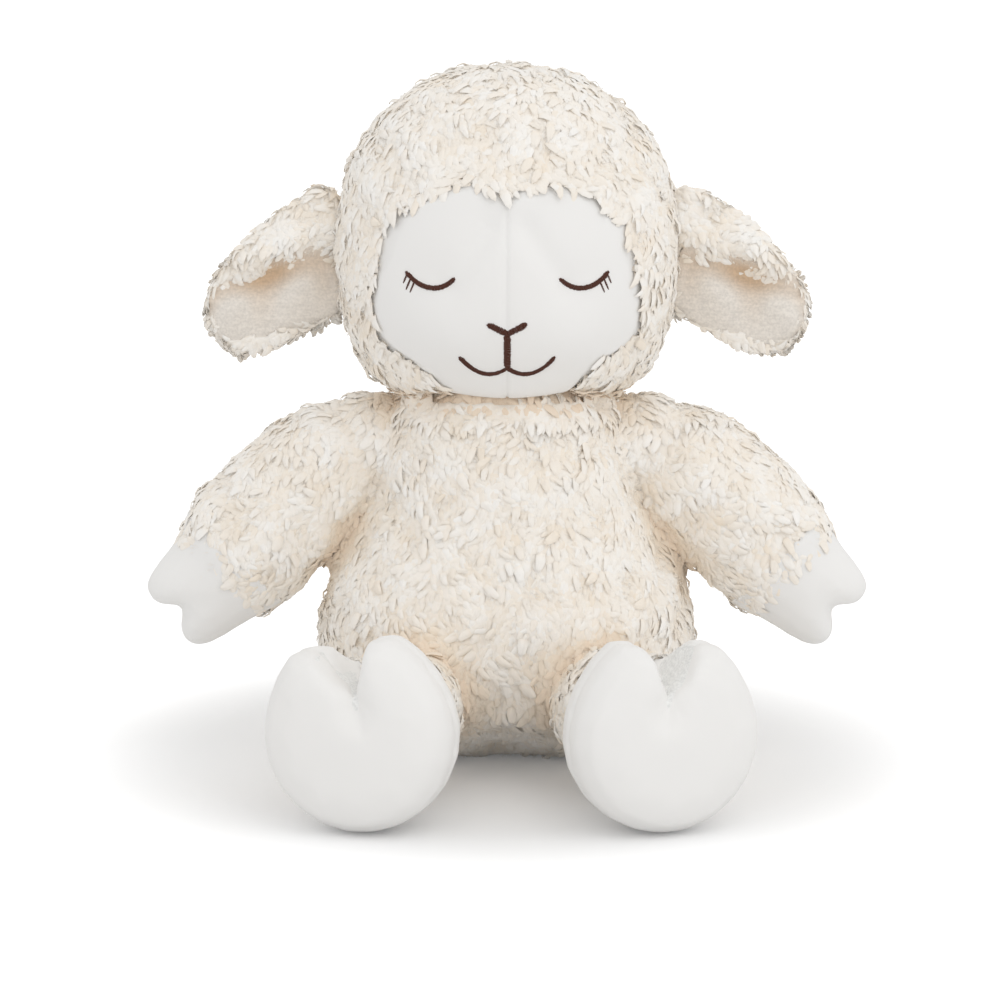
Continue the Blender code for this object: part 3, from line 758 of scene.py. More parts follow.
def nap_group():
    """Short nap of a velour: a fine height and a slight brushed change of tone, with painted shade mixed
    in where a cloth's own values mark it.
    """
    tree, given, result = effect_group("velour nap", ("Cloth", "Hollow shade"))
    # Painted shade, mixed in where a cloth's own values mark its dents and folds
    hollow_shade = add(tree, "Attribute", attribute_name="hollow_shade")["Fac"]
    cloth = mixed(tree, hollow_shade, given["Cloth"], given["Hollow shade"])
    where = add(tree, "TexCoord")["Object"]
    fine = add(tree, "TexNoise", {"Vector": where, "Scale": NAP_FINE, "Detail": 3.0})["Fac"]
    rows = add(tree, "Mapping", {"Vector": where, "Scale": NAP_STRETCH})["Vector"]
    brushed = add(tree, "TexNoise", {"Vector": rows, "Scale": NAP_BRUSHED, "Detail": 4.0})["Fac"]
    tone = ranged(tree, brushed, NAP_RANGE, (0.95, 1.03))
    grain = ranged(tree, fine, NAP_RANGE, (0.93, 1.05))
    both = add(tree, "Math", {0: tone, 1: grain}, operation="MULTIPLY")["Value"]
    colour = add(tree, "HueSaturation", {"Value": both, "Color": cloth})["Color"]
    height = add(tree, "Math", {0: brushed, 1: 0.6, 2: fine}, operation="MULTIPLY_ADD")["Value"]
    feed(tree, result, {"Colour": colour, "Height": height})
    return tree


def plain_material(name):
    """A new material, its tree of nodes and its Principled BSDF."""
    made = bpy.data.materials.new(name)
    made.use_nodes = True
    shader = made.node_tree.nodes["Principled BSDF"]
    shader.inputs["Specular IOR Level"].default_value = 0.1
    return made, made.node_tree, shader


def material(name, group, colours, roughness, sheen, bump, depth):
    made, tree, shader = plain_material(name)
    colours = {socket: (*colour, 1.0) for socket, colour in colours.items()}
    effect = add(tree, "Group", node_tree=group)
    feed(tree, effect["Colour"].node, colours)
    relief = add(tree, "Bump", {"Strength": bump, "Distance": depth, "Height": effect["Height"]})
    surface = {"Roughness": roughness, "Sheen Weight": sheen, "Sheen Roughness": 0.5}
    surface.update({"Sheen Tint": SHEEN_TINT, "Base Color": effect["Colour"], "Normal": relief["Normal"]})
    feed(tree, shader, surface)


class SHEEP_OT_cloths(bpy.types.Operator):
    """Makes the fleece, velour, lining and thread materials"""

    bl_idname = "sheep.cloths"
    bl_label = "Cloths"

    def execute(self, context):
        scene = context.scene
        fleece_look, velour_look = scene.sheep_fleece, scene.sheep_velour
        strands, nap = fibre_group(), nap_group()
        # The fleece's root and crease colours are painted warm shade; its tip colour is its own
        colours = {"Root": fleece_look.root, "Tip": fleece_look.tip, "Hollow shade": fleece_look.hollow_shade}
        material("curly fleece", strands, colours, roughness=0.95, sheen=0.4, bump=0.3, depth=0.25 * MM)
        soft = {"roughness": 0.9, "depth": velour_look.nap}
        material("velour", nap, {"Cloth": velour_look.colour}, sheen=0.1, bump=0.6, **soft)
        # The lining's second colour is painted shade for its dent and folds
        colours = {"Cloth": velour_look.lining, "Hollow shade": velour_look.hollow_shade}
        material("ear lining", nap, colours, sheen=0.2, bump=0.45, **soft)
        thread = {"Cloth": scene.sheep_thread.colour}
        material("thread", nap, thread, roughness=0.45, sheen=0.3, bump=0.1, depth=0.05 * MM)
        filling, bag = {"Cloth": linear(242, 242, 240)}, {"Cloth": linear(226, 220, 208)}
        material("fibre filling", nap, filling, roughness=0.9, sheen=0.0, bump=0.6, depth=0.6 * MM)
        material("bag cloth", nap, bag, roughness=0.85, sheen=0.0, bump=0.4, depth=0.3 * MM)
        return {"FINISHED"}


# Stage

CAMERA_PLACE = Vector((-0.0029, -1.43, 0.36))
CAMERA_AIM = Vector((-0.0029, -0.02, 0.1118))
LENS = 125.0
SENSOR = 36.0
LAMP_AIM = Vector((0, 0, 0.13))
FLOOR_SIZE = 40.0
FLOOR_GREY = (0.86, 0.86, 0.86, 1.0)
FLOOR_FADE = (0.12, 0.25)
FLOOR_LIFT = (0.10, 0.60)
WORLD_LIGHT = 0.84
WHITE = (1.0, 1.0, 1.0, 1.0)


class SHEEP_OT_stage(bpy.types.Operator):
    """Makes the camera, the white floor and the soft studio light"""

    bl_idname = "sheep.stage"
    bl_label = "Stage"

    def execute(self, context):
        camera = bpy.data.cameras.new("camera")
        camera.lens = LENS
        camera.sensor_width = SENSOR
        shot = place("camera", camera)
        shot.location = CAMERA_PLACE
        shot.rotation_euler = (CAMERA_AIM - CAMERA_PLACE).to_track_quat("-Z", "Y").to_euler()
        context.scene.camera = shot
        context.scene.view_settings.view_transform = "Standard"
        self.floor()
        self.world(context.scene)
        self.lamp("key", (0.7, -0.9, 1.6), size=1.2, power=3.2)
        self.lamp("fill", (0.6, -1.5, 0.25), size=1.2, power=2.1)
        return {"FINISHED"}

    def floor(self):
        """A grey floor, lifted to white away from the object where the camera sees it."""
        bpy.ops.object.select_all(action="DESELECT")
        bpy.ops.mesh.primitive_plane_add(size=FLOOR_SIZE, location=(0, 0, 0))
        floor = bpy.context.object
        floor.name = "floor"
        made, tree, shader = plain_material("floor")
        ray = add(tree, "LightPath")
        rays = {0: ray["Is Camera Ray"], 1: ray["Is Glossy Ray"]}
        seen = add(tree, "Math", rays, operation="MAXIMUM")["Value"]
        where = add(tree, "TexCoord")["Object"]
        away = add(tree, "VectorMath", {0: where}, operation="LENGTH")["Value"]
        white = ranged(tree, away, FLOOR_FADE, FLOOR_LIFT, interpolation_type="SMOOTHSTEP")
        lift = add(tree, "Math", {0: seen, 1: white}, operation="MULTIPLY")["Value"]
        surface = {"Base Color": FLOOR_GREY, "Roughness": 0.9, "Emission Color": WHITE}
        feed(tree, shader, surface | {"Emission Strength": lift})
        floor.data.materials.append(made)

    def world(self, scene):
        """Even light from all round, behind a white background."""
        world = bpy.data.worlds.new("studio")
        scene.world = world
        world.use_nodes = True
        tree = world.node_tree
        level = ranged(tree, add(tree, "LightPath")["Is Camera Ray"], target=(WORLD_LIGHT, 1.0))
        feed(tree, tree.nodes["Background"], {"Color": WHITE, "Strength": level})

    def lamp(self, name, spot, size, power):
        light = bpy.data.lights.new(name, "AREA")
        light.size = size
        light.energy = power
        made = place(name, light)
        made.location = spot
        made.rotation_euler = (LAMP_AIM - Vector(spot)).to_track_quat("-Z", "Y").to_euler()


# Pieces

TRUNK_PANELS = ("body_front", "body_back", "arm_sleeve_left", "arm_sleeve_right")
TRUNK_PANELS += ("leg_sleeve_left", "leg_sleeve_right")
SMOOTH_ENDS = [f"{part}_{word}" for part in ("hand_hoof", "foot_upper", "foot_sole") for word, _ in SIDES]
SHOULDER_UNDER = 116.0 * MM
HOOD_TOP = 300.0 * MM

# Belly between the legs, lifted off the floor
BELLY_TOP = 30.0 * MM
BELLY_REACH = 45.0 * MM
BELLY_HALF_WIDTH = 28.0 * MM
BELLY_LIFT = 14.0 * MM

# Places on the sheep's left side, in mm: the ball that fills a shoulder's crease, and how the locks of a
# limb lie
YOKE, YOKE_RADIUS = (56, 1, 133), 21 * MM
LIMB_LAYS = {"arm": (0.6, -0.1, -0.9), "leg": (0.2, -1.0, -0.3)}


def limb_nodes(word):
    arm = (f"arm_sleeve_{word}", f"hand_hoof_{word}", f"arm_stuffing_{word}")
    return arm + (f"leg_sleeve_{word}", f"foot_upper_{word}", f"foot_sole_{word}", f"leg_stuffing_{word}")


def placed(side, spot):
    """A place in mm on the sheep's left, for this side of it and in metres."""
    x, y, z = spot
    return side * x * MM, y * MM, z * MM


class SHEEP_OT_trunk(bpy.types.Operator):
    """Covers body, arms and legs in fleece that runs on across shoulders and hips"""

    bl_idname = "sheep.trunk"
    bl_label = "Trunk fleece"

    def execute(self, context):
        look = context.scene.sheep_fleece
        nodes = BODY_NODES + limb_nodes("left") + limb_nodes("right")
        yoke = [(Vector(placed(side, YOKE)), YOKE_RADIUS) for _, side in SIDES]
        form = form_of("trunk form", nodes, *TRUNK_FORM, yoke)
        self.lift_belly(form)
        # Painted crease shade on the body beside the limbs and the head, and on the limbs beside the body
        by_limbs = crease_shade_near((TRUNK_PANELS[2:], SHOULDER_UNDER), (HOOD_NODES + FACE_NODES, HOOD_TOP))
        by_body = crease_shade_near((TRUNK_PANELS[:2], SHOULDER_UNDER))
        for i, node in enumerate(TRUNK_PANELS):
            others = [name for name in TRUNK_PANELS if name != node] + SMOOTH_ENDS
            owned = below(nearest_among([node], others))
            name = node.replace("sleeve", "fleece").replace("body", "body_fleece")
            limb, _, word = node.partition("_sleeve_")
            lay, crease = downwards, by_limbs
            if word:
                side = dict(SIDES)[word]
                x, y, z = LIMB_LAYS[limb]
                lay, crease = towards((side * x, y, z)), by_body
            piece = fleece(name, form, owned, lay, look, look.seed + i, crease)
            declare(piece, [node])
            if word:
                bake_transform(piece)
            else:
                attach(piece, "torso")
        bpy.data.objects.remove(form)
        return {"FINISHED"}

    def lift_belly(self, form):
        """Rounds the underside of the belly between the legs."""
        points = points_of(form.data)
        low = np.clip((BELLY_TOP - points[:, 2]) / BELLY_TOP, 0, 1)
        ahead = eased(-points[:, 1] / BELLY_REACH)
        points[:, 2] += BELLY_LIFT * low * ahead * bell(points[:, 0], BELLY_HALF_WIDTH)
        put(form.data, points)


HOOD_LIFT = 0.8 * MM
FACE_MARGIN = 3.0 * MM
FACE_TUCK = 1.3 * MM
CHIN_START = 172.0 * MM
CHIN_FADE = 14.0 * MM
CHIN_DROP = 4.5 * MM
CHIN_HALF_WIDTH = 30.0 * MM
CROWN_TOP = np.array([0.0, 0.01, 0.285])
CROWN_FALL = 8.0
CROWN_HANG = np.array([0.0, 0.0, -0.6])


def from_crown(spots, ways):
    """Locks of the hood fall away from the top of the head and down."""
    return (spots - CROWN_TOP) * CROWN_FALL + CROWN_HANG


# Edge of the hood over the face: a tuft at the forehead, a high brow and low sides
FRINGE = 3.4 * MM
FRINGE_HALF_WIDTH = 8.0 * MM
BROW = 4.4 * MM
BROW_START = 213.0 * MM
BROW_FADE = 18.0 * MM
JOWL = 5.0 * MM
JOWL_START = 20.0 * MM
JOWL_TOP = 182.0 * MM
JOWL_FADE = 10.0 * MM


def overlap(spots):
    """How far the hood's fleece comes in over the face."""
    tuft = FRINGE * bell(spots[:, 0], FRINGE_HALF_WIDTH)
    brow = BROW * np.clip((spots[:, 2] - BROW_START) / BROW_FADE, 0, 1)
    aside = np.clip((np.abs(spots[:, 0]) - JOWL_START) / JOWL_FADE, 0, 1)
    jowl = JOWL * aside * np.clip((JOWL_TOP - spots[:, 2]) / JOWL_FADE, 0, 1)
    return (tuft + jowl - brow) * (spots[:, 1] < 0)


class Hood:
    """Where the hood's fleece gives way to the face."""

    def __init__(self):
        self.face, self.hood = Solids(FACE_NODES), Solids(HOOD_NODES)

    def away(self, spots):
        """How far places lie from the edge of the fleece, less than 0 on the face."""
        return (self.face.distance(spots) - self.hood.distance(spots)) / 2 + overlap(spots)

    def panel(self, node):
        mine = nearest_among([node], [other for other in HOOD_NODES if other != node])
        return lambda spots, ways: mine(spots, ways) & (self.away(spots) >= 0)


class SHEEP_OT_head(bpy.types.Operator):
    """Covers the head in a fleece hood of three panels and a smooth face"""

    bl_idname = "sheep.head"
    bl_label = "Head"

    def execute(self, context):
        look = context.scene.sheep_fleece
        nodes = HOOD_NODES + FACE_NODES + ("head_stuffing",)
        form = form_of("head form", nodes, *HEAD_FORM)
        sink(form, np.full(len(form.data.vertices), -HOOD_LIFT))
        # Painted crease shade on the hood where it comes near the body
        crease = crease_shade_near((TRUNK_PANELS[:2], HOOD_TOP))
        hood = Hood()
        for i, node in enumerate(HOOD_NODES):
            name = node.replace("hood", "hood_fleece")
            piece = fleece(name, form, hood.panel(node), from_crown, look, look.seed + 10 + i, crease)
            declare(piece, [node], "head")
        bpy.data.objects.remove(form)
        self.face(form_of("face form", nodes, *FACE_FORM), hood)
        return {"FINISHED"}

    def face(self, form, hood):
        """The smooth face: its edge tucked under the hood, its seam and darts, and its low chin."""
        piece = place("face_velour", form.data.copy())
        bpy.data.objects.remove(form)
        points = points_of(piece.data)
        keep_faces(piece, (hood.away(points) < FACE_MARGIN) & (points[:, 1] < 0))
        finish_with(piece, "SUBSURF", levels=2, render_levels=2)
        points = points_of(piece.data)
        sink(piece, face_relief(points) + FACE_TUCK * eased(hood.away(points) / FACE_MARGIN + 1.0))
        points = points_of(piece.data)
        low = np.clip((CHIN_START - points[:, 2]) / CHIN_FADE, 0, 1) * (points[:, 1] < 0)
        arc = np.maximum(1 - (points[:, 0] / CHIN_HALF_WIDTH) ** 2, 0)
        points[:, 2] -= CHIN_DROP * arc * low * low * (3 - 2 * low)
        piece.data.vertices.foreach_set("co", points.astype(np.float32).ravel())
        thicken(piece, FACE_CLOTH)
        piece.data.materials.append(bpy.data.materials["velour"])
        declare(piece, FACE_NODES, "head")


# Sewn lines, as places in x and z seen from the front, and half their widths
EYE_MIDDLE = np.array([30.6, 208.7]) * MM
EYE_HALF_WIDTH = 9.7 * MM
EYE_SAG = 4.9 * MM
EYE_TILT = 1.0 * MM
EYE_THREAD = 1.0 * MM
LASHES = ((-0.93, 3.8), (-0.80, 4.8), (-0.62, 4.5))
LASH_LEAN = 0.42
LASH_THREAD = 0.32 * MM
NOSE_MIDDLE = np.array([0.0, 186.1]) * MM
NOSE_HALF_WIDTH = 7.7 * MM
NOSE_RISE = 4.0 * MM
NOSE_THREAD = 1.3 * MM
STEM_THREAD = 1.45 * MM
LIP_DROP = 14.5 * MM
MOUTH_HALF_WIDTH = 19.0 * MM
MOUTH_FALL = 14.3 * MM
MOUTH_RISE = 19.0 * MM
MOUTH_THREAD = 1.05 * MM
STITCH_GIRTH = 0.23 * MM
STITCH_HEIGHT = 0.75 * MM
STITCH_SLANT = 0.35
STITCH_DEPTH = 0.15 * MM
STITCH_REACHES = (0.86, 1.12)
STITCH_GIRTHS = (0.85, 1.15)
TAPER_END = 0.45
TAPER_STEP = 0.22
STITCH_STEPS = np.array([-1.0, -0.6, 0.0, 0.6, 1.0])
STITCH_SIDES = 5


def eye_line(side):
    shares = np.linspace(-1, 1, 40)
    x = side * (EYE_MIDDLE[0] + shares * EYE_HALF_WIDTH)
    z = EYE_MIDDLE[1] + EYE_TILT * shares - EYE_SAG * (1 - np.abs(shares) ** 2.2)
    return np.stack([x, z], axis=1)


def lash_lines(side):
    line = eye_line(side)
    for share, length in LASHES:
        root = line[int(round((1 - share) / 2 * (len(line) - 1)))]
        steps = np.linspace(0, length * MM, 12)
        yield np.stack([root[0] + side * LASH_LEAN * steps, root[1] - steps], axis=1)


def nose_lines():
    """The two arms of the nose, the stem under it and the two sides of the mouth."""
    steps = np.linspace(0, 1, 20)[:, None]
    lip = NOSE_MIDDLE - np.array([0.0, LIP_DROP])
    for side in (1.0, -1.0):
        end = NOSE_MIDDLE + np.array([side * NOSE_HALF_WIDTH, NOSE_RISE])
        yield NOSE_MIDDLE + (end - NOSE_MIDDLE) * steps, NOSE_THREAD
    yield NOSE_MIDDLE + (lip - NOSE_MIDDLE) * steps, STEM_THREAD
    for side in (1.0, -1.0):
        x = side * MOUTH_HALF_WIDTH * steps[:, 0]
        z = lip[1] - MOUTH_FALL * steps[:, 0] + MOUTH_RISE * steps[:, 0] ** 2
        yield np.stack([x, z], axis=1), MOUTH_THREAD


def even(line, pitch):
    """Points at an even pitch along a line, and the line's direction at each."""
    lengths = np.append(0, np.cumsum(np.linalg.norm(np.diff(line, axis=0), axis=1)))
    where = np.linspace(0, lengths[-1], max(2, int(lengths[-1] / pitch)))
    places = np.stack([np.interp(where, lengths, line[:, i]) for i in range(2)], axis=1)
    return places, unit(np.gradient(places, axis=0))


def satin(name, tree, lines, look, seed):
    """Rows of satin stitches laid across lines on the face."""
    rng = np.random.default_rng(seed)
    middles, normals, ways, halves = [], [], [], []
    for line, half in lines:
        places, along = even(line, look.pitch)
        count = np.arange(len(places))
        taper = np.clip(np.minimum(count, count[::-1]) * TAPER_STEP + TAPER_END, 0, 1)
        for (x, z), (dx, dz), share in zip(places, along, taper):
            spot, normal, _, _ = tree.ray_cast(Vector((x, -0.2, z)), Vector((0, 1, 0)))
            middles.append(spot)
            normals.append(normal)
            ways.append((dx, 0.0, dz))
            halves.append(half * share)
    middles, normals, ways = np.array(middles), np.array(normals), np.array(ways)
    halves = np.array(halves) * rng.uniform(*STITCH_REACHES, len(halves))
    along = flat_to(ways, normals)
    across = unit(np.cross(normals, along) + along * STITCH_SLANT)
    reach = halves[:, None, None] * STITCH_STEPS[None, :, None]
    height = np.minimum(STITCH_HEIGHT, halves)[:, None, None]
    rise = height * (1 - STITCH_STEPS[None, :, None] ** 2) - STITCH_DEPTH
    line = middles[:, None] + across[:, None] * reach + normals[:, None] * rise
    tangent = unit(np.gradient(line, axis=1))
    side = unit(np.cross(normals[:, None], tangent))
    cos, sin = circle(STITCH_SIDES)
    ring = side[:, :, None] * cos + np.cross(tangent, side)[:, :, None] * sin
    girth = STITCH_GIRTH * rng.uniform(*STITCH_GIRTHS, len(halves))[:, None, None, None]
    points = (line[:, :, None] + ring * girth).reshape(-1, 3)
    each = len(STITCH_STEPS) * STITCH_SIDES
    quads = repeated(tube(len(STITCH_STEPS), STITCH_SIDES), len(halves), each)
    i = np.arange(STITCH_SIDES)
    caps = repeated(np.stack([i[::-1], i + each - STITCH_SIDES]), len(halves), each)
    piece = place(name, mesh_from(name, points, [quads, caps]))
    piece.data.materials.append(bpy.data.materials["thread"])
    return piece


class SHEEP_OT_embroidery(bpy.types.Operator):
    """Sews closed eyes with lashes, nose and mouth on the face in satin stitch"""

    bl_idname = "sheep.embroidery"
    bl_label = "Embroidery"

    def execute(self, context):
        look = context.scene.sheep_thread
        face = bpy.data.objects["face_velour"].data
        corners = [v.co.copy() for v in face.vertices]
        tree = BVHTree.FromPolygons(corners, [tuple(p.vertices) for p in face.polygons])
        for word, side in SIDES:
            lines = [(eye_line(side), EYE_THREAD)] + [(line, LASH_THREAD) for line in lash_lines(side)]
            self.sew(f"eye_stitches_{word}", f"eye_embroidery_{word}", tree, lines, look)
        self.sew("nose_mouth_stitches", "nose_mouth_embroidery", tree, list(nose_lines()), look)
        return {"FINISHED"}

    def sew(self, name, node, tree, lines, look):
        piece = satin(name, tree, lines, look, len(lines))
        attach(piece, "head")
        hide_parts(node)


def beside(points, start, end):
    """Distance from a line between two places, seen from the front, and how far along it."""
    start, end = np.array(start), np.array(end)
    way = end - start
    offset = points[:, [0, 2]] - start
    share = np.clip(offset @ way / (way @ way), 0, 1)
    return np.linalg.norm(offset - share[:, None] * way, axis=1), share


# Relief of the face, as depths, places seen from the front and widths
SEAM_DEPTH, SEAM_WIDTH = 0.55 * MM, 0.6 * MM
SEAM_PULL, SEAM_PULL_WIDTH = 0.5 * MM, 2.5 * MM
SEAM_FADE = 3 * MM
DART_DEPTH, DART_WIDTH = 2.9 * MM, 5.5 * MM
DART_TOP, DART_END = (2 * MM, 236 * MM), (23 * MM, 206 * MM)
SOCKET, SOCKET_DEPTH, SOCKET_WIDTH = (30 * MM, 206 * MM), 1.8 * MM, 12.0 * MM
CHEEK, CHEEK_RISE, CHEEK_WIDTH = (22 * MM, 183 * MM), 1.6 * MM, 13.0 * MM


def face_relief(points):
    """Depth of the face's centre seam and of the two soft darts over the muzzle."""
    above = np.clip((points[:, 2] - NOSE_MIDDLE[1]) / SEAM_FADE, 0, 1)
    under = np.clip((NOSE_MIDDLE[1] - LIP_DROP - points[:, 2]) / SEAM_FADE, 0, 1)
    depth = SEAM_DEPTH * bell(points[:, 0], SEAM_WIDTH) * (above + under)
    depth += SEAM_PULL * bell(points[:, 0], SEAM_PULL_WIDTH) * above
    for _, side in SIDES:
        away, share = beside(points, (side * DART_TOP[0], DART_TOP[1]), (side * DART_END[0], DART_END[1]))
        depth += DART_DEPTH * bell(away, DART_WIDTH) * np.clip(4 * share, 0, 1) * (1 - 0.5 * share)
        socket = np.hypot(points[:, 0] - side * SOCKET[0], points[:, 2] - SOCKET[1])
        cheek = np.hypot(points[:, 0] - side * CHEEK[0], points[:, 2] - CHEEK[1])
        depth += SOCKET_DEPTH * bell(socket, SOCKET_WIDTH) - CHEEK_RISE * bell(cheek, CHEEK_WIDTH)
    return depth


GROOVE_PULL = 0.4
GROOVE_PULL_WIDTH = 4


def groove(piece, nodes, others, depth, width):
    """Sinks the seam between two groups of solids into the piece, and the cloth beside it less."""
    mine, rest = Solids(nodes), Solids(others)
    points = points_of(piece.data)
    away = (mine.distance(points) - rest.distance(points)) / 2
    sink(piece, depth * bell(away, width) + GROOVE_PULL * depth * bell(away, GROOVE_PULL_WIDTH * width))


def velour_piece(name, form, nodes, others):
    """A smooth cloth piece on the part of a form that these solids hold, turned in under the fleece."""
    piece = place(name, form.data.copy())
    mine, rest = Solids(nodes), Solids(others)
    points = points_of(piece.data)
    keep_faces(piece, mine.distance(points) < rest.distance(points) + 2 * CUFF_MARGIN)
    piece.data.materials.append(bpy.data.materials["velour"])
    return piece


CUFF_MARGIN = 4.0 * MM
CUFF_HELD = 1.5 * CUFF_MARGIN
PUFF_MOST = 2.5 * MM
SEAM_REACH = 2.0 * MM
HAND_SEAM_NORMAL = 0.16
FOOT_SPLAY = math.radians(9)
FOOT_SEAM = 0.8 * MM
FRONT_SHARE = 0.55

# Notch between the toes
NOTCH_RISE = 14 * MM
NOTCH_DEPTH = 5.0 * MM
NOTCH_WIDTH = 6.0 * MM
NOTCH_SEAM = 3 * MM
NOTCH_SOFT = 9.0 * MM
NOTCH_ROUNDS = 14
NOTCH_PINCH = 0.45
NOTCH_PINCH_WIDTH = 12.0 * MM
TOE_HEIGHT = 20.0 * MM

# Creases of the sole under the notch, as lean, length, depth and width in mm
CREASE_TOP = 22 * MM
FOOT_CREASES = ((1.5, 22, 1.6, 2.4), (-9, 11, 0.7, 1.6), (9, 12, 0.7, 1.6), (-4, 17, 0.5, 1.2))


class SHEEP_OT_hands(bpy.types.Operator):
    """Covers both hands in velour"""

    bl_idname = "sheep.hands"
    bl_label = "Hands"

    def execute(self, context):
        for word, _ in SIDES:
            parts = ("arm_sleeve", "hand_hoof", "arm_stuffing")
            sleeve, hoof, filling = (f"{part}_{word}" for part in parts)
            form = form_of("arm form", (sleeve, hoof, filling), *LIMB_FORM)
            hand = velour_piece(f"hand_velour_{word}", form, [hoof], [sleeve])
            cuff = Solids([sleeve]).distance(points_of(hand.data)) < CUFF_HELD
            edge = np.abs(normals_of(hand.data)[:, 1]) < HAND_SEAM_NORMAL
            puff(hand, cuff | edge, PUFF_MOST)
            finish_with(hand, "SUBSURF", levels=1, render_levels=1)
            thicken(hand, VELOUR_CLOTH)
            declare(hand, [hoof], f"arm_{word}")
            bpy.data.objects.remove(form)
        return {"FINISHED"}


class SHEEP_OT_feet(bpy.types.Operator):
    """Covers both feet in velour, sewn round the sole and drawn in between the toes"""

    bl_idname = "sheep.feet"
    bl_label = "Feet"

    def execute(self, context):
        for word, side in SIDES:
            sleeve, upper, sole, filling = (
                f"{part}_{word}" for part in ("leg_sleeve", "foot_upper", "foot_sole", "leg_stuffing")
            )
            form = form_of("leg form", (sleeve, upper, sole, filling), *LIMB_FORM)
            foot = velour_piece(f"foot_velour_{word}", form, [upper, sole], [sleeve])
            points = points_of(foot.data)
            cuff = Solids([sleeve]).distance(points) < CUFF_HELD
            apart = np.abs(Solids([upper]).distance(points) - Solids([sole]).distance(points))
            notch = self.notch(points)
            ahead = self.ahead(points)
            sink(foot, NOTCH_DEPTH * bell(notch, NOTCH_WIDTH) * ahead)
            soft = foot.vertex_groups.new(name="notch")
            soft.add([int(i) for i in np.flatnonzero((notch < NOTCH_SOFT) & (ahead > 0))], 1.0, "REPLACE")
            finish_with(foot, "SMOOTH", factor=0.5, iterations=NOTCH_ROUNDS, vertex_group="notch")
            puff(foot, cuff | (apart < SEAM_REACH) | (notch < NOTCH_SEAM), PUFF_MOST)
            finish_with(foot, "SUBSURF", levels=1, render_levels=1)
            groove(foot, [upper], [sole], FOOT_SEAM, FOOT_SEAM)
            self.crease(foot)
            self.splay(foot, side)
            thicken(foot, VELOUR_CLOTH)
            declare(foot, [upper, sole], f"leg_{word}")
            bpy.data.objects.remove(form)
        return {"FINISHED"}

    def notch(self, points):
        """How far points lie from the fold between the toes."""
        middle = (points.min(0) + points.max(0)) / 2
        high = np.clip(points[:, 2] - (middle[2] + NOTCH_RISE), None, 0)
        return np.hypot(points[:, 0] - middle[0], high)

    def ahead(self, points):
        """1 over the front of the foot, and 0 at its cuff."""
        low, high = points[:, 1].min(), points[:, 1].max()
        return eased((high - points[:, 1]) / ((high - low) * FRONT_SHARE))

    def splay(self, foot, side):
        """Leans the toes outwards, as the sewn foot sits, and keeps the cuff where it is."""
        points = points_of(foot.data)
        low = points.min(0)
        middle = (low + points.max(0)) / 2
        ahead = self.ahead(points)
        lean = side * FOOT_SPLAY * ahead
        x, z = points[:, 0] - middle[0], points[:, 2] - middle[2]
        x -= x * NOTCH_PINCH * bell(x, NOTCH_PINCH_WIDTH) * np.clip(z / TOE_HEIGHT, 0, 1) * ahead
        points[:, 0] = middle[0] + x * np.cos(lean) + z * np.sin(lean)
        points[:, 2] = middle[2] - x * np.sin(lean) + z * np.cos(lean)
        points[:, 2] += max(low[2] - points[:, 2].min(), 0) * ahead
        put(foot.data, points)

    def crease(self, foot):
        """The crease under the notch and the small folds that it draws into the sole."""
        points = points_of(foot.data)
        middle = (points.min(0) + points.max(0)) / 2
        ahead = points[:, 1] < middle[1]
        depths = np.zeros(len(points))
        for lean, length, depth, width in FOOT_CREASES:
            start = (middle[0], middle[2] + CREASE_TOP)
            end = (middle[0] + lean * MM, start[1] - length * MM)
            away, share = beside(points, start, end)
            depths += depth * MM * bell(away, width * MM) * (1 - share) * ahead
        sink(foot, depths)


NECK_REACH = 13.0 * MM
NECK_FACE_GAP = 2.0 * MM
# Even painted crease shade over the whole neck roll, which sits in the crease under the head
NECK_CREASE_SHADE = 0.1
NECK_LOCK_SIZE = 0.9


class SHEEP_OT_neck(bpy.types.Operator):
    """Fills the crease between head and body with a roll of fleece"""

    bl_idname = "sheep.neck"
    bl_label = "Neck"

    def execute(self, context):
        look = context.scene.sheep_fleece
        nodes = BODY_NODES + HOOD_NODES + FACE_NODES + ("head_stuffing", "neck_seam")
        form = form_of("neck form", nodes, *NECK_FORM)
        seam, face = Solids(["neck_seam"]), Solids(FACE_NODES)

        def owned(spots, ways):
            return (seam.distance(spots) < NECK_REACH) & (face.distance(spots) > NECK_FACE_GAP)

        # Painted crease shade, the same all over the roll
        crease_shade = evenly(NECK_CREASE_SHADE)
        piece = fleece("neck_fleece", form, owned, downwards, look, look.seed + 40, crease_shade, NECK_LOCK_SIZE)
        declare(piece, ["neck_seam"], "neck")
        bpy.data.objects.remove(form)
        return {"FINISHED"}


EAR_ROOT = np.array([73.5, 0.0, 213.0]) * MM
EAR_TIP = np.array([126.0, -7.0, 190.0]) * MM
EAR_FRONT = -0.25
EAR_HANG = np.array([0.0, 0.0, -0.5])
EAR_LOCK_SIZE = 0.85
LINING_MARGIN = 3 * MM
FLEECE_MARGIN = 1.0 * MM

# Front of an ear in mm: where the fold of fleece ends at root and tip, and the lining's lower edge
BRIM_ROOT, BRIM_RISE = 2 * MM, 7 * MM
LINING_LOW, LINING_RISE, LINING_END = -27 * MM, 12 * MM, 2 * MM

# Swellings of an ear's front, as height, place and width across from the fold, place and width along
EAR_ROLL = (4.0 * MM, 6 * MM, 6 * MM, 24 * MM, 26 * MM)
EAR_DENT = (6.0 * MM, -5 * MM, 6 * MM, 28 * MM, 20 * MM)
# Painted shade of the lining under the fold: its strength, then its place and width across and along, as
# a swelling's are
EAR_HOLLOW_SHADE = (1.0, -4 * MM, 6 * MM, 26 * MM, 24 * MM)

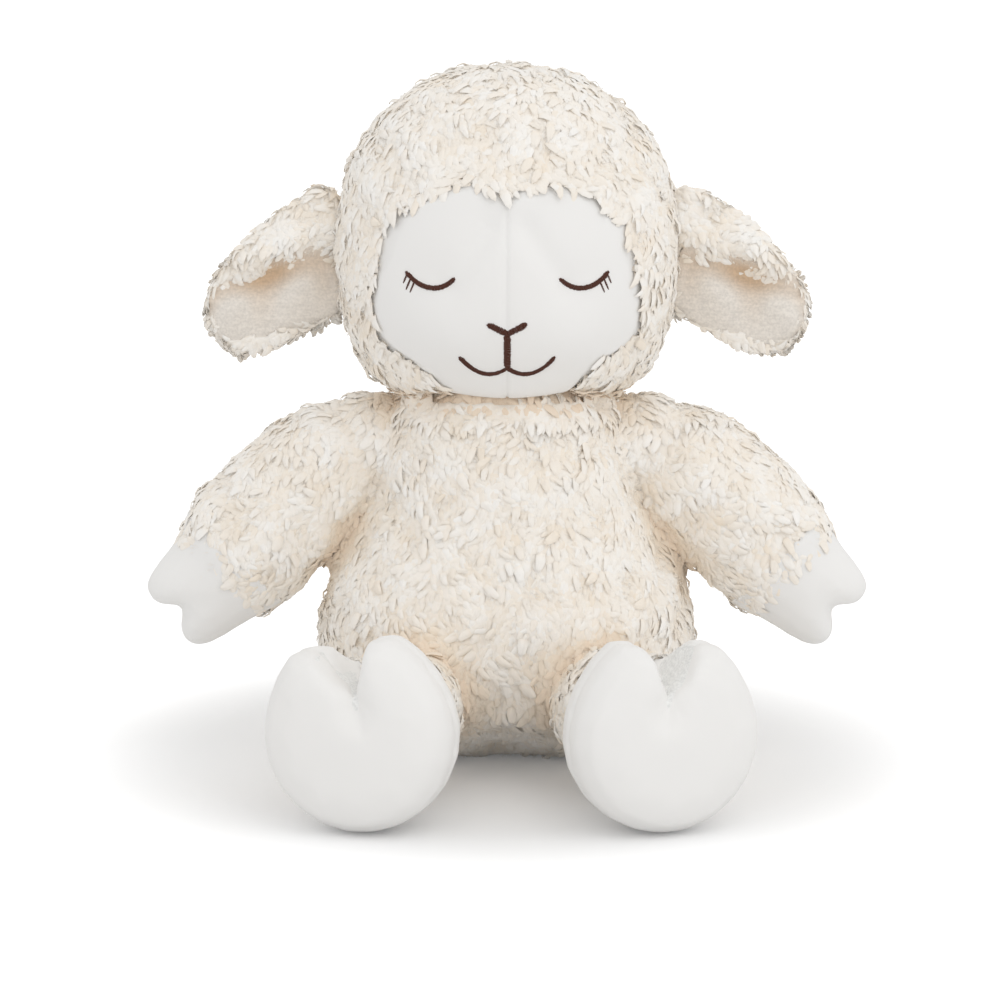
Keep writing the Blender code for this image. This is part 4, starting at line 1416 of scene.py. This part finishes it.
# Small folds of the lining: height, lengths of the waves along and across, place and width across
FOLD = 1.5 * MM
FOLD_ALONG, FOLD_ACROSS = 4.6 * MM, 9 * MM
FOLD_PLACE, FOLD_WIDTH, FOLD_START = 12 * MM, 9 * MM, 4 * MM


class Ear:
    """Places on an ear: how far out along it, and how far up across it."""

    def __init__(self, side):
        flip = np.array([side, 1.0, 1.0])
        self.root = EAR_ROOT * flip
        way = EAR_TIP * flip - self.root
        self.length = np.linalg.norm(way)
        self.way = way / self.length
        up = np.cross(self.way, (0.0, 1.0, 0.0))
        self.up = up / np.linalg.norm(up) * np.sign(up[2])

    def along(self, points):
        return (points - self.root) @ self.way

    def brim(self, points):
        """How far up points lie across the ear, from where the fold of fleece ends."""
        end = BRIM_ROOT + BRIM_RISE * np.clip(self.along(points) / self.length, 0, 1)
        return (points - self.root) @ self.up, end

    def lining(self, points, normals, margin):
        """The front of the ear under the fold of fleece, inside its rim."""
        out = self.along(points)
        up, top = self.brim(points)
        low = LINING_LOW + LINING_RISE * np.clip(out / self.length, 0, 1) ** 2
        inside = (up < top + margin) & (up > low - margin) & (out < self.length - LINING_END + margin)
        return inside & (normals[:, 1] < EAR_FRONT) & (out > -LINING_END)

    def swell(self, points, shape):
        """Height of one of the swellings of the ear's front."""
        height, rise, width, start, reach = shape
        up, end = self.brim(points)
        return height * bell(up - end - rise, width) * bell(self.along(points) - start, reach)

    def folds(self, points):
        """Small folds that run over the lining, as heights."""
        out = self.along(points)
        up, end = self.brim(points)
        waves = np.cos(out / FOLD_ALONG + up / FOLD_ACROSS)
        return FOLD * waves * bell(up - end + FOLD_PLACE, FOLD_WIDTH)


class SHEEP_OT_ears(bpy.types.Operator):
    """Covers the backs of the ears in fleece, folded over in front, and lines them"""

    bl_idname = "sheep.ears"
    bl_label = "Ears"

    def execute(self, context):
        look = context.scene.sheep_fleece
        for i, (word, side) in enumerate(SIDES):
            outer, lining = f"ear_outer_{word}", f"ear_lining_{word}"
            form = form_of("ear form", (outer, lining), *EAR_FORM)
            ear = Ear(side)
            self.shape(form, ear)

            def owned(spots, ways, ear=ear):
                return ~ear.lining(spots, ways, -FLEECE_MARGIN)

            lay = towards(ear.way + EAR_HANG)
            name = f"ear_fleece_{word}"
            piece = fleece(name, form, owned, lay, look, look.seed + 50 + i, evenly(0.0), EAR_LOCK_SIZE)
            declare(piece, [outer], f"ear_{word}")
            cloth = place(f"ear_lining_velour_{word}", form.data.copy())
            keep_faces(cloth, ear.lining(points_of(cloth.data), normals_of(cloth.data), LINING_MARGIN))
            finish_with(cloth, "SUBSURF", levels=1, render_levels=1)
            thicken(cloth, LINING_CLOTH)
            cloth.data.materials.append(bpy.data.materials["ear lining"])
            declare(cloth, [lining], f"ear_{word}")
            bpy.data.objects.remove(form)
        return {"FINISHED"}

    def shape(self, form, ear):
        """Rolls the fold of fleece over, dents the lining under it and paints shade into the dent and the
        troughs of its folds.
        """
        points = points_of(form.data)
        front = np.clip(-normals_of(form.data)[:, 1], 0, 1)
        folds = ear.folds(points)
        raised = folds * (ear.along(points) > FOLD_START)
        sink(form, (ear.swell(points, EAR_DENT) + raised - ear.swell(points, EAR_ROLL)) * front)
        # Painted shade: strongest in the dent under the fold and in the troughs of the small folds
        hollow_shade = ear.swell(points, EAR_HOLLOW_SHADE) + 0.25 * folds / FOLD
        add_values(form.data, "hollow_shade", "FLOAT", np.clip(hollow_shade, 0, 1))


FILLINGS = (
    ("body_stuffing", "torso", "fibre_filling"),
    ("head_stuffing", "head", "fibre_filling"),
    ("arm_stuffing_left", "arm_left", "fibre_filling"),
    ("arm_stuffing_right", "arm_right", "fibre_filling"),
    ("leg_stuffing_left", "leg_left", "fibre_filling"),
    ("leg_stuffing_right", "leg_right", "fibre_filling"),
    ("pellet_bag", "torso", "bag_cloth"),
)
TUFT = 3.5 * MM
TUFT_SINK = 0.5 * MM
TUFT_DEPTH = 0.16 * MM


class SHEEP_OT_fillings(bpy.types.Operator):
    """Makes the tufted fibre filling inside the covers and the bag of pellets"""

    bl_idname = "sheep.fillings"
    bl_label = "Fillings"

    def execute(self, context):
        for node, body, slot in FILLINGS:
            form = form_of(node + "_clump", (node,), *FILLING_FORM)
            waves = sum(np.sin(points_of(form.data) @ way / TUFT) for way in BACKING_WAVES)
            sink(form, TUFT_SINK + TUFT_DEPTH * waves)
            form.data.materials.append(bpy.data.materials[slot.replace("_", " ")])
            declare(form, [node], body)
        return {"FINISHED"}


class SHEEP_PT_panel(bpy.types.Panel):
    bl_idname = "SHEEP_PT_panel"
    bl_label = "Plush sheep"
    bl_space_type = "VIEW_3D"
    bl_region_type = "UI"
    bl_category = "Plush sheep"

    def draw(self, context):
        layout = self.layout
        for look in (context.scene.sheep_fleece, context.scene.sheep_velour, context.scene.sheep_thread):
            for name in look.bl_rna.properties.keys():
                if name not in ("name", "rna_type"):
                    layout.prop(look, name)
        for step in STEPS:
            layout.operator(step.bl_idname)


def register():
    for made in CLASSES:
        bpy.utils.register_class(made)
    bpy.types.Scene.sheep_fleece = PointerProperty(type=SHEEP_PG_fleece)
    bpy.types.Scene.sheep_velour = PointerProperty(type=SHEEP_PG_velour)
    bpy.types.Scene.sheep_thread = PointerProperty(type=SHEEP_PG_thread)


def unregister():
    del bpy.types.Scene.sheep_thread
    del bpy.types.Scene.sheep_velour
    del bpy.types.Scene.sheep_fleece
    for made in reversed(CLASSES):
        bpy.utils.unregister_class(made)


def main():
    register()
    bpy.ops.sheep.stage()
    bpy.ops.sheep.cloths()
    bpy.ops.sheep.trunk()
    bpy.ops.sheep.head()
    bpy.ops.sheep.embroidery()
    bpy.ops.sheep.neck()
    bpy.ops.sheep.hands()
    bpy.ops.sheep.feet()
    bpy.ops.sheep.ears()
    bpy.ops.sheep.fillings()


STEPS = (
    SHEEP_OT_stage,
    SHEEP_OT_cloths,
    SHEEP_OT_trunk,
    SHEEP_OT_head,
    SHEEP_OT_embroidery,
    SHEEP_OT_neck,
    SHEEP_OT_hands,
    SHEEP_OT_feet,
    SHEEP_OT_ears,
    SHEEP_OT_fillings,
)
CLASSES = (SHEEP_PG_fleece, SHEEP_PG_velour, SHEEP_PG_thread, *STEPS, SHEEP_PT_panel)


if __name__ == "__main__":
    main()
